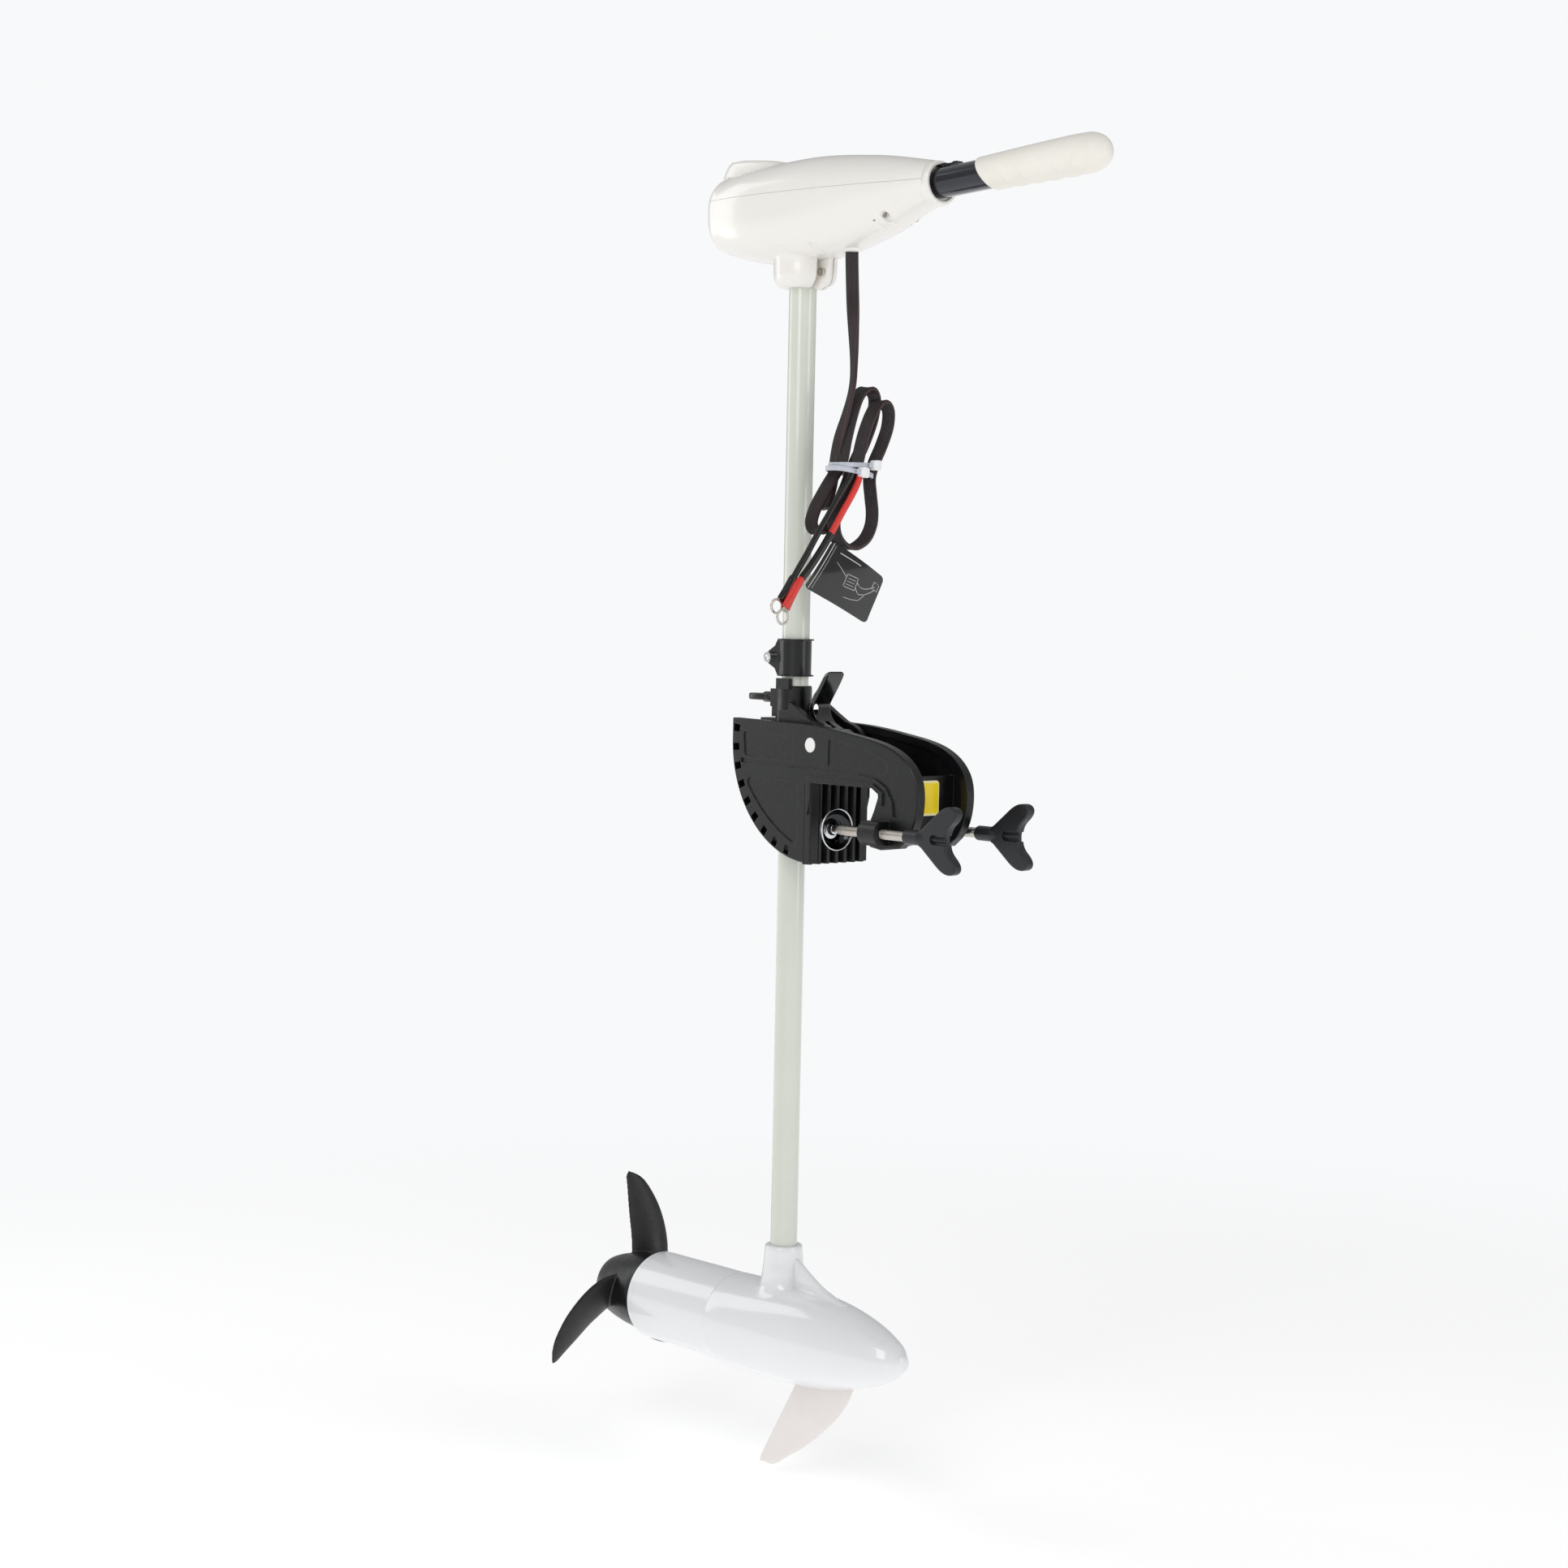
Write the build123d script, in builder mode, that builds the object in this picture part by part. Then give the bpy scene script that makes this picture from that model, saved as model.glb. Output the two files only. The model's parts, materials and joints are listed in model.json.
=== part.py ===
"""Electric outboard motor with a transom clamp, tilting shaft and tiller, in millimetres.

The model origin is the middle of the transom seat, under the clamp hook. +X runs forward into
the boat, +Y to port and +Z up. Unless noted, the x and z values below are measured from the
shaft axis and the propeller axis; at() and the plane helpers move them to the model frame.
"""
from build123d import *
from math import sin, cos, radians
import os

os.makedirs("parts", exist_ok=True)

# ================================================================= DRIVING DIMENSIONS
SHAFT_X = -109.0        # shaft axis, behind the middle of the seat (model frame)
MOTOR_Z = -535.0        # propeller axis, below the seat (model frame)
SHAFT_R = 13.0          # fibreglass shaft
SHAFT_VISIBLE = 914.0   # 36 inch between the lower collar and the head clamp
COLLAR_TOP = 84.0       # top of the lower collar
HEAD_BOTTOM = COLLAR_TOP + SHAFT_VISIBLE
TUBE_R = 44.0           # motor tube
PROP_R = 120.0          # propeller tip
PLATE_OUT = 37.0        # outer face of a bracket side plate, from the middle plane
PLATE_IN = 31.0         # inner face of the plate web
RIM_IN = 27.0           # inner edge of the plate rim
SCREW_X = 161.0         # middle of the clamp screw bosses
SCREW_Y = 46.0          # clamp screw axes, either side of the middle plane
SCREW_Z = 495.0
SCREW_R = 4.75          # 3/8 inch rod
PIVOT_X, PIVOT_Z = 63.4, 570.0  # tilt pivot
PIVOT_R = 7.0
BAR_ANGLE = 253.2       # direction of the lock bar seen from the pivot, degrees
TILLER_X, TILLER_Z = 182, 1081.5  # where the tiller leaves the head
TILLER_SLOPE = 3.2      # degrees the tiller rises
TILLER_R = 13.75
RUN = 0.06              # radial running clearance
FIT = 0.02              # radial clearance of a seated part
XROT = (0, 90, 0)
YROT = (90, 0, 0)


def at(x, y, z):
    """Model position of a point given from the shaft and propeller axes."""
    return (SHAFT_X + x, y, MOTOR_Z + z)


def side_plane(x=0, y=0, z=0):
    """Fore-and-aft plane: local x forward, local y up, normal to starboard."""
    return Plane(origin=at(x, y, z), x_dir=(1, 0, 0), z_dir=(0, -1, 0))


def cross_plane(x, y=0, z=0):
    """Plane across the boat's length: local x to port, local y up, normal forward."""
    return Plane(origin=at(x, y, z), x_dir=(0, 1, 0), z_dir=(1, 0, 0))


def level_plane(z):
    """Horizontal plane centred on the shaft: local x forward, local y to port."""
    return Plane(origin=at(0, 0, z), x_dir=(1, 0, 0), z_dir=(0, 0, 1))


def pivot_polar(radius, angle):
    """x and z of a point given by radius and angle about the tilt pivot."""
    return (PIVOT_X + radius * cos(radians(angle)), PIVOT_Z + radius * sin(radians(angle)))


def cyl_x(radius, length, mode=Mode.ADD):
    """Cylinder along X, centred on the current location."""
    Cylinder(radius, length, rotation=XROT, mode=mode)


def cyl_y(radius, length, mode=Mode.ADD):
    """Cylinder along Y, centred on the current location."""
    Cylinder(radius, length, rotation=YROT, mode=mode)


def rod_x(start, end, radius, y=0, z=0, mode=Mode.ADD):
    """Cylinder along X between two x positions."""
    with Locations(at((start + end) / 2, y, z)):
        cyl_x(radius, end - start, mode)


def save(name, part):
    part.label = name
    export_step(part, "parts/" + name + ".step")


TILLER_DIR = (cos(radians(TILLER_SLOPE)), 0, sin(radians(TILLER_SLOPE)))
TILLER_START = at(TILLER_X, 0, TILLER_Z)
TILLER = Plane(origin=TILLER_START, x_dir=(0, 1, 0), z_dir=TILLER_DIR)  # across the tiller
TILLER_SIDE = Plane(origin=TILLER_START, x_dir=TILLER_DIR, z_dir=(0, -1, 0))  # along it
TILLER_AXIS = Axis(TILLER_START, TILLER_DIR)
PROP_AXIS = Axis(at(0, 0, 0), (1, 0, 0))

# ================================================================= CLAMP BRACKET
ARC_R = 111.0           # rear arc of the side plates, about the pivot
RIM_WIDTH = 8
LOCK_R = 104.5          # radius of the lock windows, about the pivot
LOCK_WINDOWS = 9
FIRST_WINDOW_ANGLE = 173.6
INSERT_R = 7.5          # threaded insert in the screw boss
INSERT_LENGTH = 17
# outlines as (x, z)
PLATE_TOP = [(-47.6, 591), (12, 590), (83, 587), (129, 581), (165, 574), (190, 562),
             (204, 545), (207, 525), (203, 505), (194, 490)]
PLATE_HOOK = [(194, 490), (184, 482), (160, 479), (146, 481), (142, 489), (143, 500),
              (150, 514), (155, 527), (155, 535), (66, 535), (66, 459.03)]
PLATE_REAR = (-47.6, 572)
HOLLOW_TOP = [(-39, 584), (12, 583), (83, 580), (127, 574), (162, 567), (184, 555),
              (196.5, 541), (199, 525), (196, 510)]
HOLLOW_HOOK = [(196, 510), (188, 495), (180, 489), (172, 489), (163, 500), (163, 543),
               (58, 543), (58, 467.1)]
HOLLOW_REAR = (-39, 572)
UPPER_PANELS = (
    [(-31, 579), (40, 576), (40, 553), (-29, 556)],
    [(88, 577), (130, 571), (166, 560), (168, 549), (88, 551)],
)
GROOVE = [(-34, 549), (128, 546.5), (150, 544), (165, 537), (174, 524), (176, 510),
          (184, 510), (182.5, 526), (172, 542), (153, 549.5), (128, 551.5), (-34, 553.5)]
HOOK_LIP = [(60, 541), (150, 539), (163, 532), (163, 520), (158, 520), (157.5, 530),
            (149, 535), (66, 535), (66, 520), (62, 505)]
PAD_WALL = [(51, 458), (57, 458), (57, 535), (160, 535), (160, 541), (51, 541)]
FRONT_WEB = [(179, 486), (185, 486), (185, 547), (179, 547)]

with BuildPart() as transom_bracket:
    # starboard side plate
    with BuildSketch(side_plane(y=-RIM_IN)):
        with BuildLine():
            Spline(*PLATE_TOP)
            Polyline(*PLATE_HOOK)
            ThreePointArc(PLATE_HOOK[-1], pivot_polar(ARC_R, 225), PLATE_REAR)
            Line(PLATE_REAR, PLATE_TOP[0])
        make_face()
    extrude(amount=PLATE_OUT - RIM_IN)
    chamfer(transom_bracket.faces().sort_by(Axis.Y)[0].edges(), 1.2)
    # hollow inside the rim
    with BuildSketch(side_plane(y=-RIM_IN)):
        with BuildLine():
            Spline(*HOLLOW_TOP)
            Polyline(*HOLLOW_HOOK)
            ThreePointArc(HOLLOW_HOOK[-1], pivot_polar(ARC_R - RIM_WIDTH, 225), HOLLOW_REAR)
            Line(HOLLOW_REAR, HOLLOW_TOP[0])
        make_face()
    extrude(amount=PLATE_IN - RIM_IN, mode=Mode.SUBTRACT)
    # recessed panels on the outer face: two along the top, one behind the seat
    for outline in UPPER_PANELS:
        with BuildSketch(side_plane(y=-PLATE_OUT)) as panel:
            with BuildLine():
                Polyline(*outline, close=True)
            make_face()
            fillet(panel.vertices(), 3)
        extrude(amount=-1.0, mode=Mode.SUBTRACT)
    with BuildSketch(side_plane(y=-PLATE_OUT)) as panel:
        with BuildLine():
            Polyline((-29, 536), (47, 534), (47, 475))
            ThreePointArc((47, 475), pivot_polar(92, 232), (-29, 536))
        make_face()
        fillet(panel.vertices(), 5)
    extrude(amount=-1.0, mode=Mode.SUBTRACT)
    # long groove that follows the hook down the front arm
    with BuildSketch(side_plane(y=-PLATE_OUT)):
        with BuildLine():
            Polyline(*GROOVE, close=True)
        make_face()
    extrude(amount=-1.6, mode=Mode.SUBTRACT)
    # raised lip around the hook opening
    with BuildSketch(side_plane(y=-PLATE_OUT)):
        with BuildLine():
            Polyline(*HOOK_LIP, close=True)
        make_face()
    extrude(amount=1.6)
    # boss for the clamp screw, standing outside the plate
    with Locations(at(SCREW_X, -SCREW_Y + 3.5, SCREW_Z)):
        Box(22, 19, 22)
    with Locations(at(SCREW_X, -SCREW_Y, SCREW_Z)):
        cyl_x(11, 22)
    with Locations(at(SCREW_X, -SCREW_Y, SCREW_Z)):
        cyl_x(INSERT_R, INSERT_LENGTH, Mode.SUBTRACT)
        cyl_x(5.3, 60, Mode.SUBTRACT)
    # pivot hole
    with Locations(at(PIVOT_X, -32, PIVOT_Z)):
        cyl_y(PIVOT_R, 14, Mode.SUBTRACT)
    # lock windows on the arc
    with BuildSketch(side_plane(PIVOT_X, 1 - RIM_IN, PIVOT_Z)):
        with PolarLocations(LOCK_R, LOCK_WINDOWS, start_angle=FIRST_WINDOW_ANGLE,
                            angular_range=BAR_ANGLE - FIRST_WINDOW_ANGLE, endpoint=True):
            Rectangle(8.6, 7.0)
    extrude(amount=PLATE_OUT - RIM_IN + 3, mode=Mode.SUBTRACT)
    # port side
    mirror(about=Plane.XZ)
    # pad wall, seat web and front web between the plates
    with BuildSketch(side_plane(y=RIM_IN + 5)):
        with BuildLine():
            Polyline(*PAD_WALL, close=True)
        make_face()
        with BuildLine():
            Polyline(*FRONT_WEB, close=True)
        make_face()
    extrude(amount=2 * (RIM_IN + 5))
    # vertical grip ribs on the pad wall
    with BuildSketch(level_plane(458)):
        with Locations([(60, -33 + 11 * i) for i in range(7)]):
            Trapezoid(9, 7.2, 68, rotation=-90)
    extrude(amount=77)
    # side walls of the pad wall out to the plate faces
    with Locations(at(60, 33.5, 497), at(60, -33.5, 497)):
        Box(6, 7, 76)
save("transom_bracket", transom_bracket.part)

with BuildPart() as tilt_pivot_pin:
    with Locations(at(PIVOT_X, 0, PIVOT_Z)):
        cyl_y(PIVOT_R - RUN, 2 * PLATE_OUT + 1)
    chamfer(tilt_pivot_pin.edges().filter_by(GeomType.CIRCLE), 0.4)
save("tilt_pivot_pin", tilt_pivot_pin.part)

with BuildPart() as screw_inserts:
    for side in (-1, 1):
        with Locations(at(SCREW_X, side * SCREW_Y, SCREW_Z)):
            cyl_x(INSERT_R - FIT, INSERT_LENGTH)
            cyl_x(SCREW_R + RUN, 30, Mode.SUBTRACT)
save("screw_inserts", screw_inserts.part)

# label on the front web
with BuildPart() as blank_label:
    with BuildSketch(cross_plane(185.02)):
        with Locations((0, 527)):
            RectangleRounded(24, 32, 4)
    extrude(amount=0.5)
save("blank_label", blank_label.part)

# ================================================================= CLAMP SCREWS
PAD_X = 112.0           # rim of the clamp pad
PAD_R = 19.5
WING_X = 221.0          # root of the wing
WING_THICK = 9
NECK_R = 2.6            # neck of the screw that turns in the pad
# half section of the pad, (x from PAD_X, radius)
PAD_SECTION = [(0, PAD_R), (1.0, PAD_R), (1.0, PAD_R - 1.4), (-6.6, 8.5), (-7.6, 6.5),
               (-7.6, 0), (-9.6, 0), (-9.6, 7.5), (-8.2, 9.8)]
# one half of the fish-tail wing, (x from WING_X, distance from the screw axis)
WING_HALF = [(-3, 6), (6, 14), (18, 26), (30, 33.5), (40, 34), (46, 29), (46, 21), (40, 12),
             (33, 6), (31, 2)]
WING = WING_HALF + [(x, -z) for x, z in reversed(WING_HALF)]


def clamp_pad(y):
    """Open dish: hollow toward the handle, flat floor toward the transom."""
    with BuildPart() as pad:
        with BuildSketch(side_plane(PAD_X, y, SCREW_Z)):
            with BuildLine():
                Polyline(*PAD_SECTION, close=True)
            make_face()
        revolve(axis=Axis(at(0, y, SCREW_Z), (1, 0, 0)))
        # socket that holds the end of the screw
        with Locations(at(PAD_X - 5.1, y, SCREW_Z)):
            cyl_x(5.0, 5.2)
            cyl_x(NECK_R + RUN, 5.2, Mode.SUBTRACT)
    return pad.part


def clamp_screw(y):
    """Plain neck, then the threaded rod."""
    with BuildPart() as screw:
        rod_x(PAD_X - 7.5, PAD_X + 5, NECK_R, y, SCREW_Z)
        rod_x(PAD_X + 4, WING_X + 14, SCREW_R, y, SCREW_Z)
    return screw.part


def clamp_handle(y):
    """Round hub and fish-tail wing."""
    with BuildPart() as handle:
        rod_x(200, WING_X + 6, 7.2, y, SCREW_Z)
        with BuildSketch(side_plane(WING_X, y + WING_THICK / 2, SCREW_Z)):
            with BuildLine():
                Polyline(*WING, close=True)
            make_face()
        extrude(amount=WING_THICK)
        # stiffening core along the wing
        with Locations(at(WING_X + 22, y, SCREW_Z)):
            cyl_x(5.2, 26)
        rod_x(190, WING_X + 14.05, SCREW_R + 0.01, y, SCREW_Z, Mode.SUBTRACT)
    return handle.part


for y, side_name in ((-SCREW_Y, "right"), (SCREW_Y, "left")):
    save("clamp_pad_" + side_name, clamp_pad(y))
    save("clamp_screw_" + side_name, clamp_screw(y))
    save("clamp_handle_" + side_name, clamp_handle(y))

# ================================================================= TILT BRACKET
SLEEVE_TOP, SLEEVE_BOT, SLEEVE_R = 623.0, 479.0, 16.4
BUSH_R = 14.4           # steering bushes in the sleeve
BUSH_HEIGHT = 24
CHEEK_IN, CHEEK_THICK = 18, 6
PIVOT_BUSH_R = 9.0
TENSION_Z = 611         # steering tension screw
TENSION_R = 3.0
TENSION_HOLE_R = 3.1
BAR_R = 3.0
BAR_REST_R = 95.5       # lock bar when drawn clear of the windows, about the pivot
BAR_X, BAR_Z = pivot_polar(BAR_REST_R, BAR_ANGLE)
TAIL_X, TAIL_Z = pivot_polar(22.9, BAR_ANGLE - 90 - 10)  # cross pin in the lever tail
# outlines as (x, z)
CHEEK = [(4, 600), (17.5, 601), (18.4, 608.5), (24, 606), (36, 599), (51, 591), (62, 588),
         (70, 584), (77, 577), (78.4, 568), (74, 559), (66, 554), (48, 552), (47, 520),
         (46.5, 484), (45, 474), (36, 469), (24, 472), (8, 482), (-6, 496), (-6, 585),
         (4, 590)]
LEVER_REAR = [(55, 574), (46, 583), (41, 589), (36.2, 595.5), (32, 600.5), (32.2, 604.5),
              (34.3, 609.5), (38, 616), (42.7, 621), (47.5, 628), (52.5, 635), (55.5, 638)]
LEVER_FRONT = [(58, 637), (54.5, 630), (48, 620), (41.5, 611), (39.2, 606), (40.2, 598),
               (45.5, 591), (53, 587), (62, 583.5), (70, 581)]

# carries the sleeve that the shaft swivels in
with BuildPart() as swivel_bracket:
    # two cheeks that reach from the sleeve to the pivot and down to the lock bar
    with BuildSketch(side_plane(y=-CHEEK_IN)):
        with BuildLine():
            Polyline(*CHEEK, close=True)
        make_face()
    extrude(amount=CHEEK_THICK)
    mirror(about=Plane.XZ)
    # sleeve: slim above the cheeks, stouter between them
    with BuildSketch(level_plane(SLEEVE_BOT)):
        Circle(SLEEVE_R)
    extrude(amount=SLEEVE_TOP - SLEEVE_BOT)
    chamfer(swivel_bracket.faces().sort_by(Axis.Z)[-1].edges(), 1.2)
    with BuildSketch(level_plane(SLEEVE_BOT)):
        Circle(18.5)
    extrude(amount=584 - SLEEVE_BOT)
    # webs between sleeve and cheeks
    with Locations(at(-2, 0, 541)):
        Box(28, 2 * CHEEK_IN + 0.2, 88)
    with Locations(at(10, 0, 591)):
        Box(12, 2 * CHEEK_IN + 0.2, 14)
    # pinch block for the tension screw, and the small rear shelf
    with Locations(at(-19.5, 0, TENSION_Z)):
        Box(12, 17, 17)
    with Locations(at(-17, 0, 598)):
        Box(9, 20, 10)
    with Locations(at(-27, 0, 590)):
        Box(26, 15, 2.6)
    with Locations(at(-14.5, 0, 591)):
        Box(9, 15, 12)
    # tab on top of the sleeve, starboard side
    with Locations(at(1, -15.2, 625)):
        Box(18, 4.4, 10)
    # bores
    with BuildSketch(level_plane(SLEEVE_BOT - 1)):
        Circle(BUSH_R)
    extrude(amount=SLEEVE_TOP - SLEEVE_BOT + 12, mode=Mode.SUBTRACT)
    with Locations(at(-22, 0, TENSION_Z)):
        cyl_x(TENSION_HOLE_R, 24, Mode.SUBTRACT)
    with Locations(at(PIVOT_X, 0, PIVOT_Z)):
        cyl_y(PIVOT_BUSH_R, 60, Mode.SUBTRACT)
    # slots that guide the lock bar
    with BuildSketch(side_plane(PIVOT_X, 30, PIVOT_Z)):
        with PolarLocations(99.5, 1, start_angle=BAR_ANGLE):
            SlotOverall(20, 6.6)
    extrude(amount=60, mode=Mode.SUBTRACT)
save("swivel_bracket", swivel_bracket.part)

# flanged bushes between the cheeks and the side plates
with BuildPart() as pivot_bushes:
    for side in (-1, 1):
        with Locations(at(PIVOT_X, side * (CHEEK_IN + CHEEK_THICK / 2), PIVOT_Z)):
            cyl_y(PIVOT_BUSH_R - FIT, CHEEK_THICK)
        with Locations(at(PIVOT_X, side * 25.3, PIVOT_Z)):
            cyl_y(11.0, 2.5)
    with Locations(at(PIVOT_X, 0, PIVOT_Z)):
        cyl_y(PIVOT_R, 70, Mode.SUBTRACT)
save("pivot_bushes", pivot_bushes.part)

with BuildPart() as steering_bushes:
    for bottom in (SLEEVE_BOT, SLEEVE_TOP - BUSH_HEIGHT):
        with BuildSketch(level_plane(bottom)):
            Circle(BUSH_R - FIT)
            Circle(SHAFT_R + RUN, mode=Mode.SUBTRACT)
        extrude(amount=BUSH_HEIGHT)
    with Locations(at(-14, 0, TENSION_Z)):
        cyl_x(TENSION_HOLE_R, 6, Mode.SUBTRACT)
save("steering_bushes", steering_bushes.part)

with BuildPart() as lock_bar:
    with Locations(at(BAR_X, 0, BAR_Z)):
        cyl_y(BAR_R, 2 * 30.5)
    chamfer(lock_bar.edges().filter_by(GeomType.CIRCLE), 0.5)
save("lock_bar", lock_bar.part)

# flat strap between the lever tail and the lock bar, slotted at the lever end
with BuildPart() as release_link:
    with BuildSketch(side_plane(y=2)):
        with BuildLine():
            Polyline((BAR_X - 5.5, BAR_Z - 5), (BAR_X + 5.5, BAR_Z - 5),
                     (BAR_X + 6, BAR_Z + 10), (TAIL_X + 7, TAIL_Z - 10),
                     (TAIL_X + 7, TAIL_Z + 7), (TAIL_X - 7, TAIL_Z + 7),
                     (TAIL_X - 7, TAIL_Z - 10), (BAR_X - 6, BAR_Z + 10), close=True)
        make_face()
    extrude(amount=4)
    with Locations(at(TAIL_X, 0, TAIL_Z)):
        Box(9.5, 10, 7.0, mode=Mode.SUBTRACT)
    with Locations(at(BAR_X, 0, BAR_Z)):
        cyl_y(BAR_R + FIT, 10, Mode.SUBTRACT)
save("release_link", release_link.part)

# hub on the pivot, thumb paddle above, forked tail behind
with BuildPart() as tilt_lever:
    with BuildSketch(side_plane(y=11)):
        with BuildLine():
            Spline(*LEVER_REAR)
            Line(LEVER_REAR[-1], LEVER_FRONT[0])
            Spline(*LEVER_FRONT)
            Line(LEVER_FRONT[-1], LEVER_REAR[0])
        make_face()
    extrude(amount=22)
    # rounded upper corner of the paddle, starboard side
    with BuildSketch(cross_plane(20)):
        with BuildLine():
            Polyline((-12, 632), (-10.9, 632), (-10, 635.5), (-7.5, 637.6), (-5, 639),
                     (-12, 639), close=True)
        make_face()
    extrude(amount=60, mode=Mode.SUBTRACT)
    with Locations(at(PIVOT_X, 0, PIVOT_Z)):
        cyl_y(14.5, 22)
    # tail
    with BuildSketch(side_plane(y=8)):
        with BuildLine():
            Polyline((TAIL_X - 4, TAIL_Z - 5), (TAIL_X - 4, TAIL_Z + 5), (52, 582), (56, 562),
                     close=True)
        make_face()
    extrude(amount=16)
    # slanted cord hole near the edge of the paddle
    with BuildSketch(Plane(origin=at(37.5, -6.6, 602), x_dir=(0.669, 0.743, 0),
                           z_dir=(0.743, -0.669, 0)).offset(-20)):
        Ellipse(2.3, 5.2)
    extrude(amount=40, mode=Mode.SUBTRACT)
    with Locations(at(PIVOT_X, 0, PIVOT_Z)):
        cyl_y(PIVOT_R, 30, Mode.SUBTRACT)
    # slot for the release link, and the cross pin that lifts it
    with Locations(at(40, 0, 571)):
        Box(34, 5.0, 40, mode=Mode.SUBTRACT)
    with Locations(at(TAIL_X, 0, TAIL_Z)):
        cyl_y(2.6, 16)
save("tilt_lever", tilt_lever.part)

with BuildPart() as tension_screw:
    with Locations(at(-28.0, 0, TENSION_Z)):
        cyl_x(TENSION_R, 28)
save("tension_screw", tension_screw.part)

# round hub and flat blade
with BuildPart() as tension_knob:
    with Locations(at(-35.0, 0, TENSION_Z)):
        cyl_x(5.2, 18)
    with BuildSketch(level_plane(TENSION_Z - 3.2)):
        with BuildLine():
            Polyline((-30, 5.5), (-44, 7.5), (-56, 7.0), (-61, 5), (-63, 0), (-61, -5),
                     (-56, -7.0), (-44, -7.5), (-30, -5.5), close=True)
        make_face()
    extrude(amount=6.4)
    with Locations(at(-34.0, 0, TENSION_Z)):
        cyl_x(TENSION_R + FIT, 16.1, Mode.SUBTRACT)
save("tension_knob", tension_knob.part)

# ================================================================= DEPTH COLLAR
DEPTH_BOT, DEPTH_HEIGHT = 632, 35.5
DEPTH_RIM = 1.4         # height of the end rims
PINCH_X, PINCH_Z = -26.5, 649.5  # pinch bolt
PINCH_R = 3.0

with BuildPart() as depth_collar:
    # barrel, lower rim, upper rim
    for bottom, radius, height in (
            (DEPTH_BOT, 15.2, DEPTH_HEIGHT),
            (DEPTH_BOT, 17.4, DEPTH_RIM),
            (DEPTH_BOT + DEPTH_HEIGHT - DEPTH_RIM, 17.4, DEPTH_RIM)):
        with BuildSketch(level_plane(bottom)):
            Circle(radius)
        extrude(amount=height)
    # clamp ear
    with BuildSketch(side_plane(y=8)):
        with BuildLine():
            Polyline((-11, 632), (-17, 632.5), (-21, 639), (-29, 643), (-33, 646), (-33, 653),
                     (-29, 656), (-21, 660.5), (-17, 667), (-11, 667.5), close=True)
        make_face()
    extrude(amount=16)
    # pinch slit, bore, bolt hole
    with Locations(at(-26, 0, 650)):
        Box(30, 2.0, 40, mode=Mode.SUBTRACT)
    with BuildSketch(level_plane(DEPTH_BOT - 2)):
        Circle(SHAFT_R + RUN)
    extrude(amount=40, mode=Mode.SUBTRACT)
    with Locations(at(PINCH_X, 0, PINCH_Z)):
        cyl_y(3.3, 40, Mode.SUBTRACT)
save("depth_collar", depth_collar.part)

# socket-head bolt, head to starboard
with BuildPart() as collar_bolt:
    with Locations(at(PINCH_X, 1.5, PINCH_Z)):
        cyl_y(PINCH_R, 21)
    with Locations(at(PINCH_X, -10.6, PINCH_Z)):
        cyl_y(5.0, 5)
    with BuildSketch(side_plane(y=-13.2)):
        with Locations((PINCH_X, PINCH_Z)):
            RegularPolygon(2.6, 6)
    extrude(amount=-3, mode=Mode.SUBTRACT)
save("collar_bolt", collar_bolt.part)

with BuildPart() as collar_nut:
    with BuildSketch(side_plane(y=12.6)):
        with Locations((PINCH_X, PINCH_Z)):
            RegularPolygon(5.2, 6)
            Circle(PINCH_R + FIT, mode=Mode.SUBTRACT)
    extrude(amount=4.5)
save("collar_nut", collar_nut.part)

# ================================================================= SHAFT
SHAFT_LOW, SHAFT_HIGH = 30.0, HEAD_BOTTOM + 42.0

with BuildPart() as shaft:
    with BuildSketch(level_plane(SHAFT_LOW)):
        Circle(SHAFT_R)
        Circle(9.0, mode=Mode.SUBTRACT)
    extrude(amount=SHAFT_HIGH - SHAFT_LOW)
save("shaft", shaft.part)

with BuildPart() as motor_leads:
    with BuildSketch(level_plane(SHAFT_LOW + 1)):
        with Locations((0, 4), (0, -4)):
            Circle(2.2)
    extrude(amount=SHAFT_HIGH - SHAFT_LOW + 2)
save("motor_leads", motor_leads.part)

# ================================================================= LOWER UNIT
TUBE_REAR, TUBE_FRONT = -177.0, -66.0
TUBE_BORE_R = 41.0
SPIGOT_R = TUBE_BORE_R - 0.05    # end cap and nose where they enter the tube
INNER_FIT_R = TUBE_BORE_R - 0.1  # magnets and brush plate
AXLE_R = 5.0            # armature shaft
BEARING_R = 11.0
BOLT_Y = 38.5           # through bolts, either side of the middle plane
BOLT_HOLE_R = 2.1
SLOT_COUNT = 12         # winding slots and commutator gaps
BRUSH_X = -53.5
NOSE_TIP = 169.5
# nose outline up to the tip, (x, radius)
NOSE_PROFILE = [(TUBE_FRONT, 45.8), (-58, 47.2), (-30, 48.2), (10, 48.0), (45, 46.0),
                (75, 42.3), (107, 35.6), (132, 28.0), (148, 21.5), (160, 14.4), (167, 7.2)]
# half section of the end cap, (x from TUBE_REAR, radius)
CAP_SECTION = [(-9, 9.5), (-9, TUBE_R - 3), (-7, TUBE_R - 0.3), (-0.1, TUBE_R - 0.3),
               (-0.1, SPIGOT_R), (8, SPIGOT_R), (8, 36), (2, 34), (2, 15), (8, 15),
               (8, BEARING_R + FIT), (1, BEARING_R + FIT), (1, 9.5)]

with BuildPart() as motor_tube:
    with Locations(at((TUBE_REAR + TUBE_FRONT) / 2, 0, 0)):
        cyl_x(TUBE_R, TUBE_FRONT - TUBE_REAR)
        cyl_x(TUBE_BORE_R, 200, Mode.SUBTRACT)
save("motor_tube", motor_tube.part)

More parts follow.
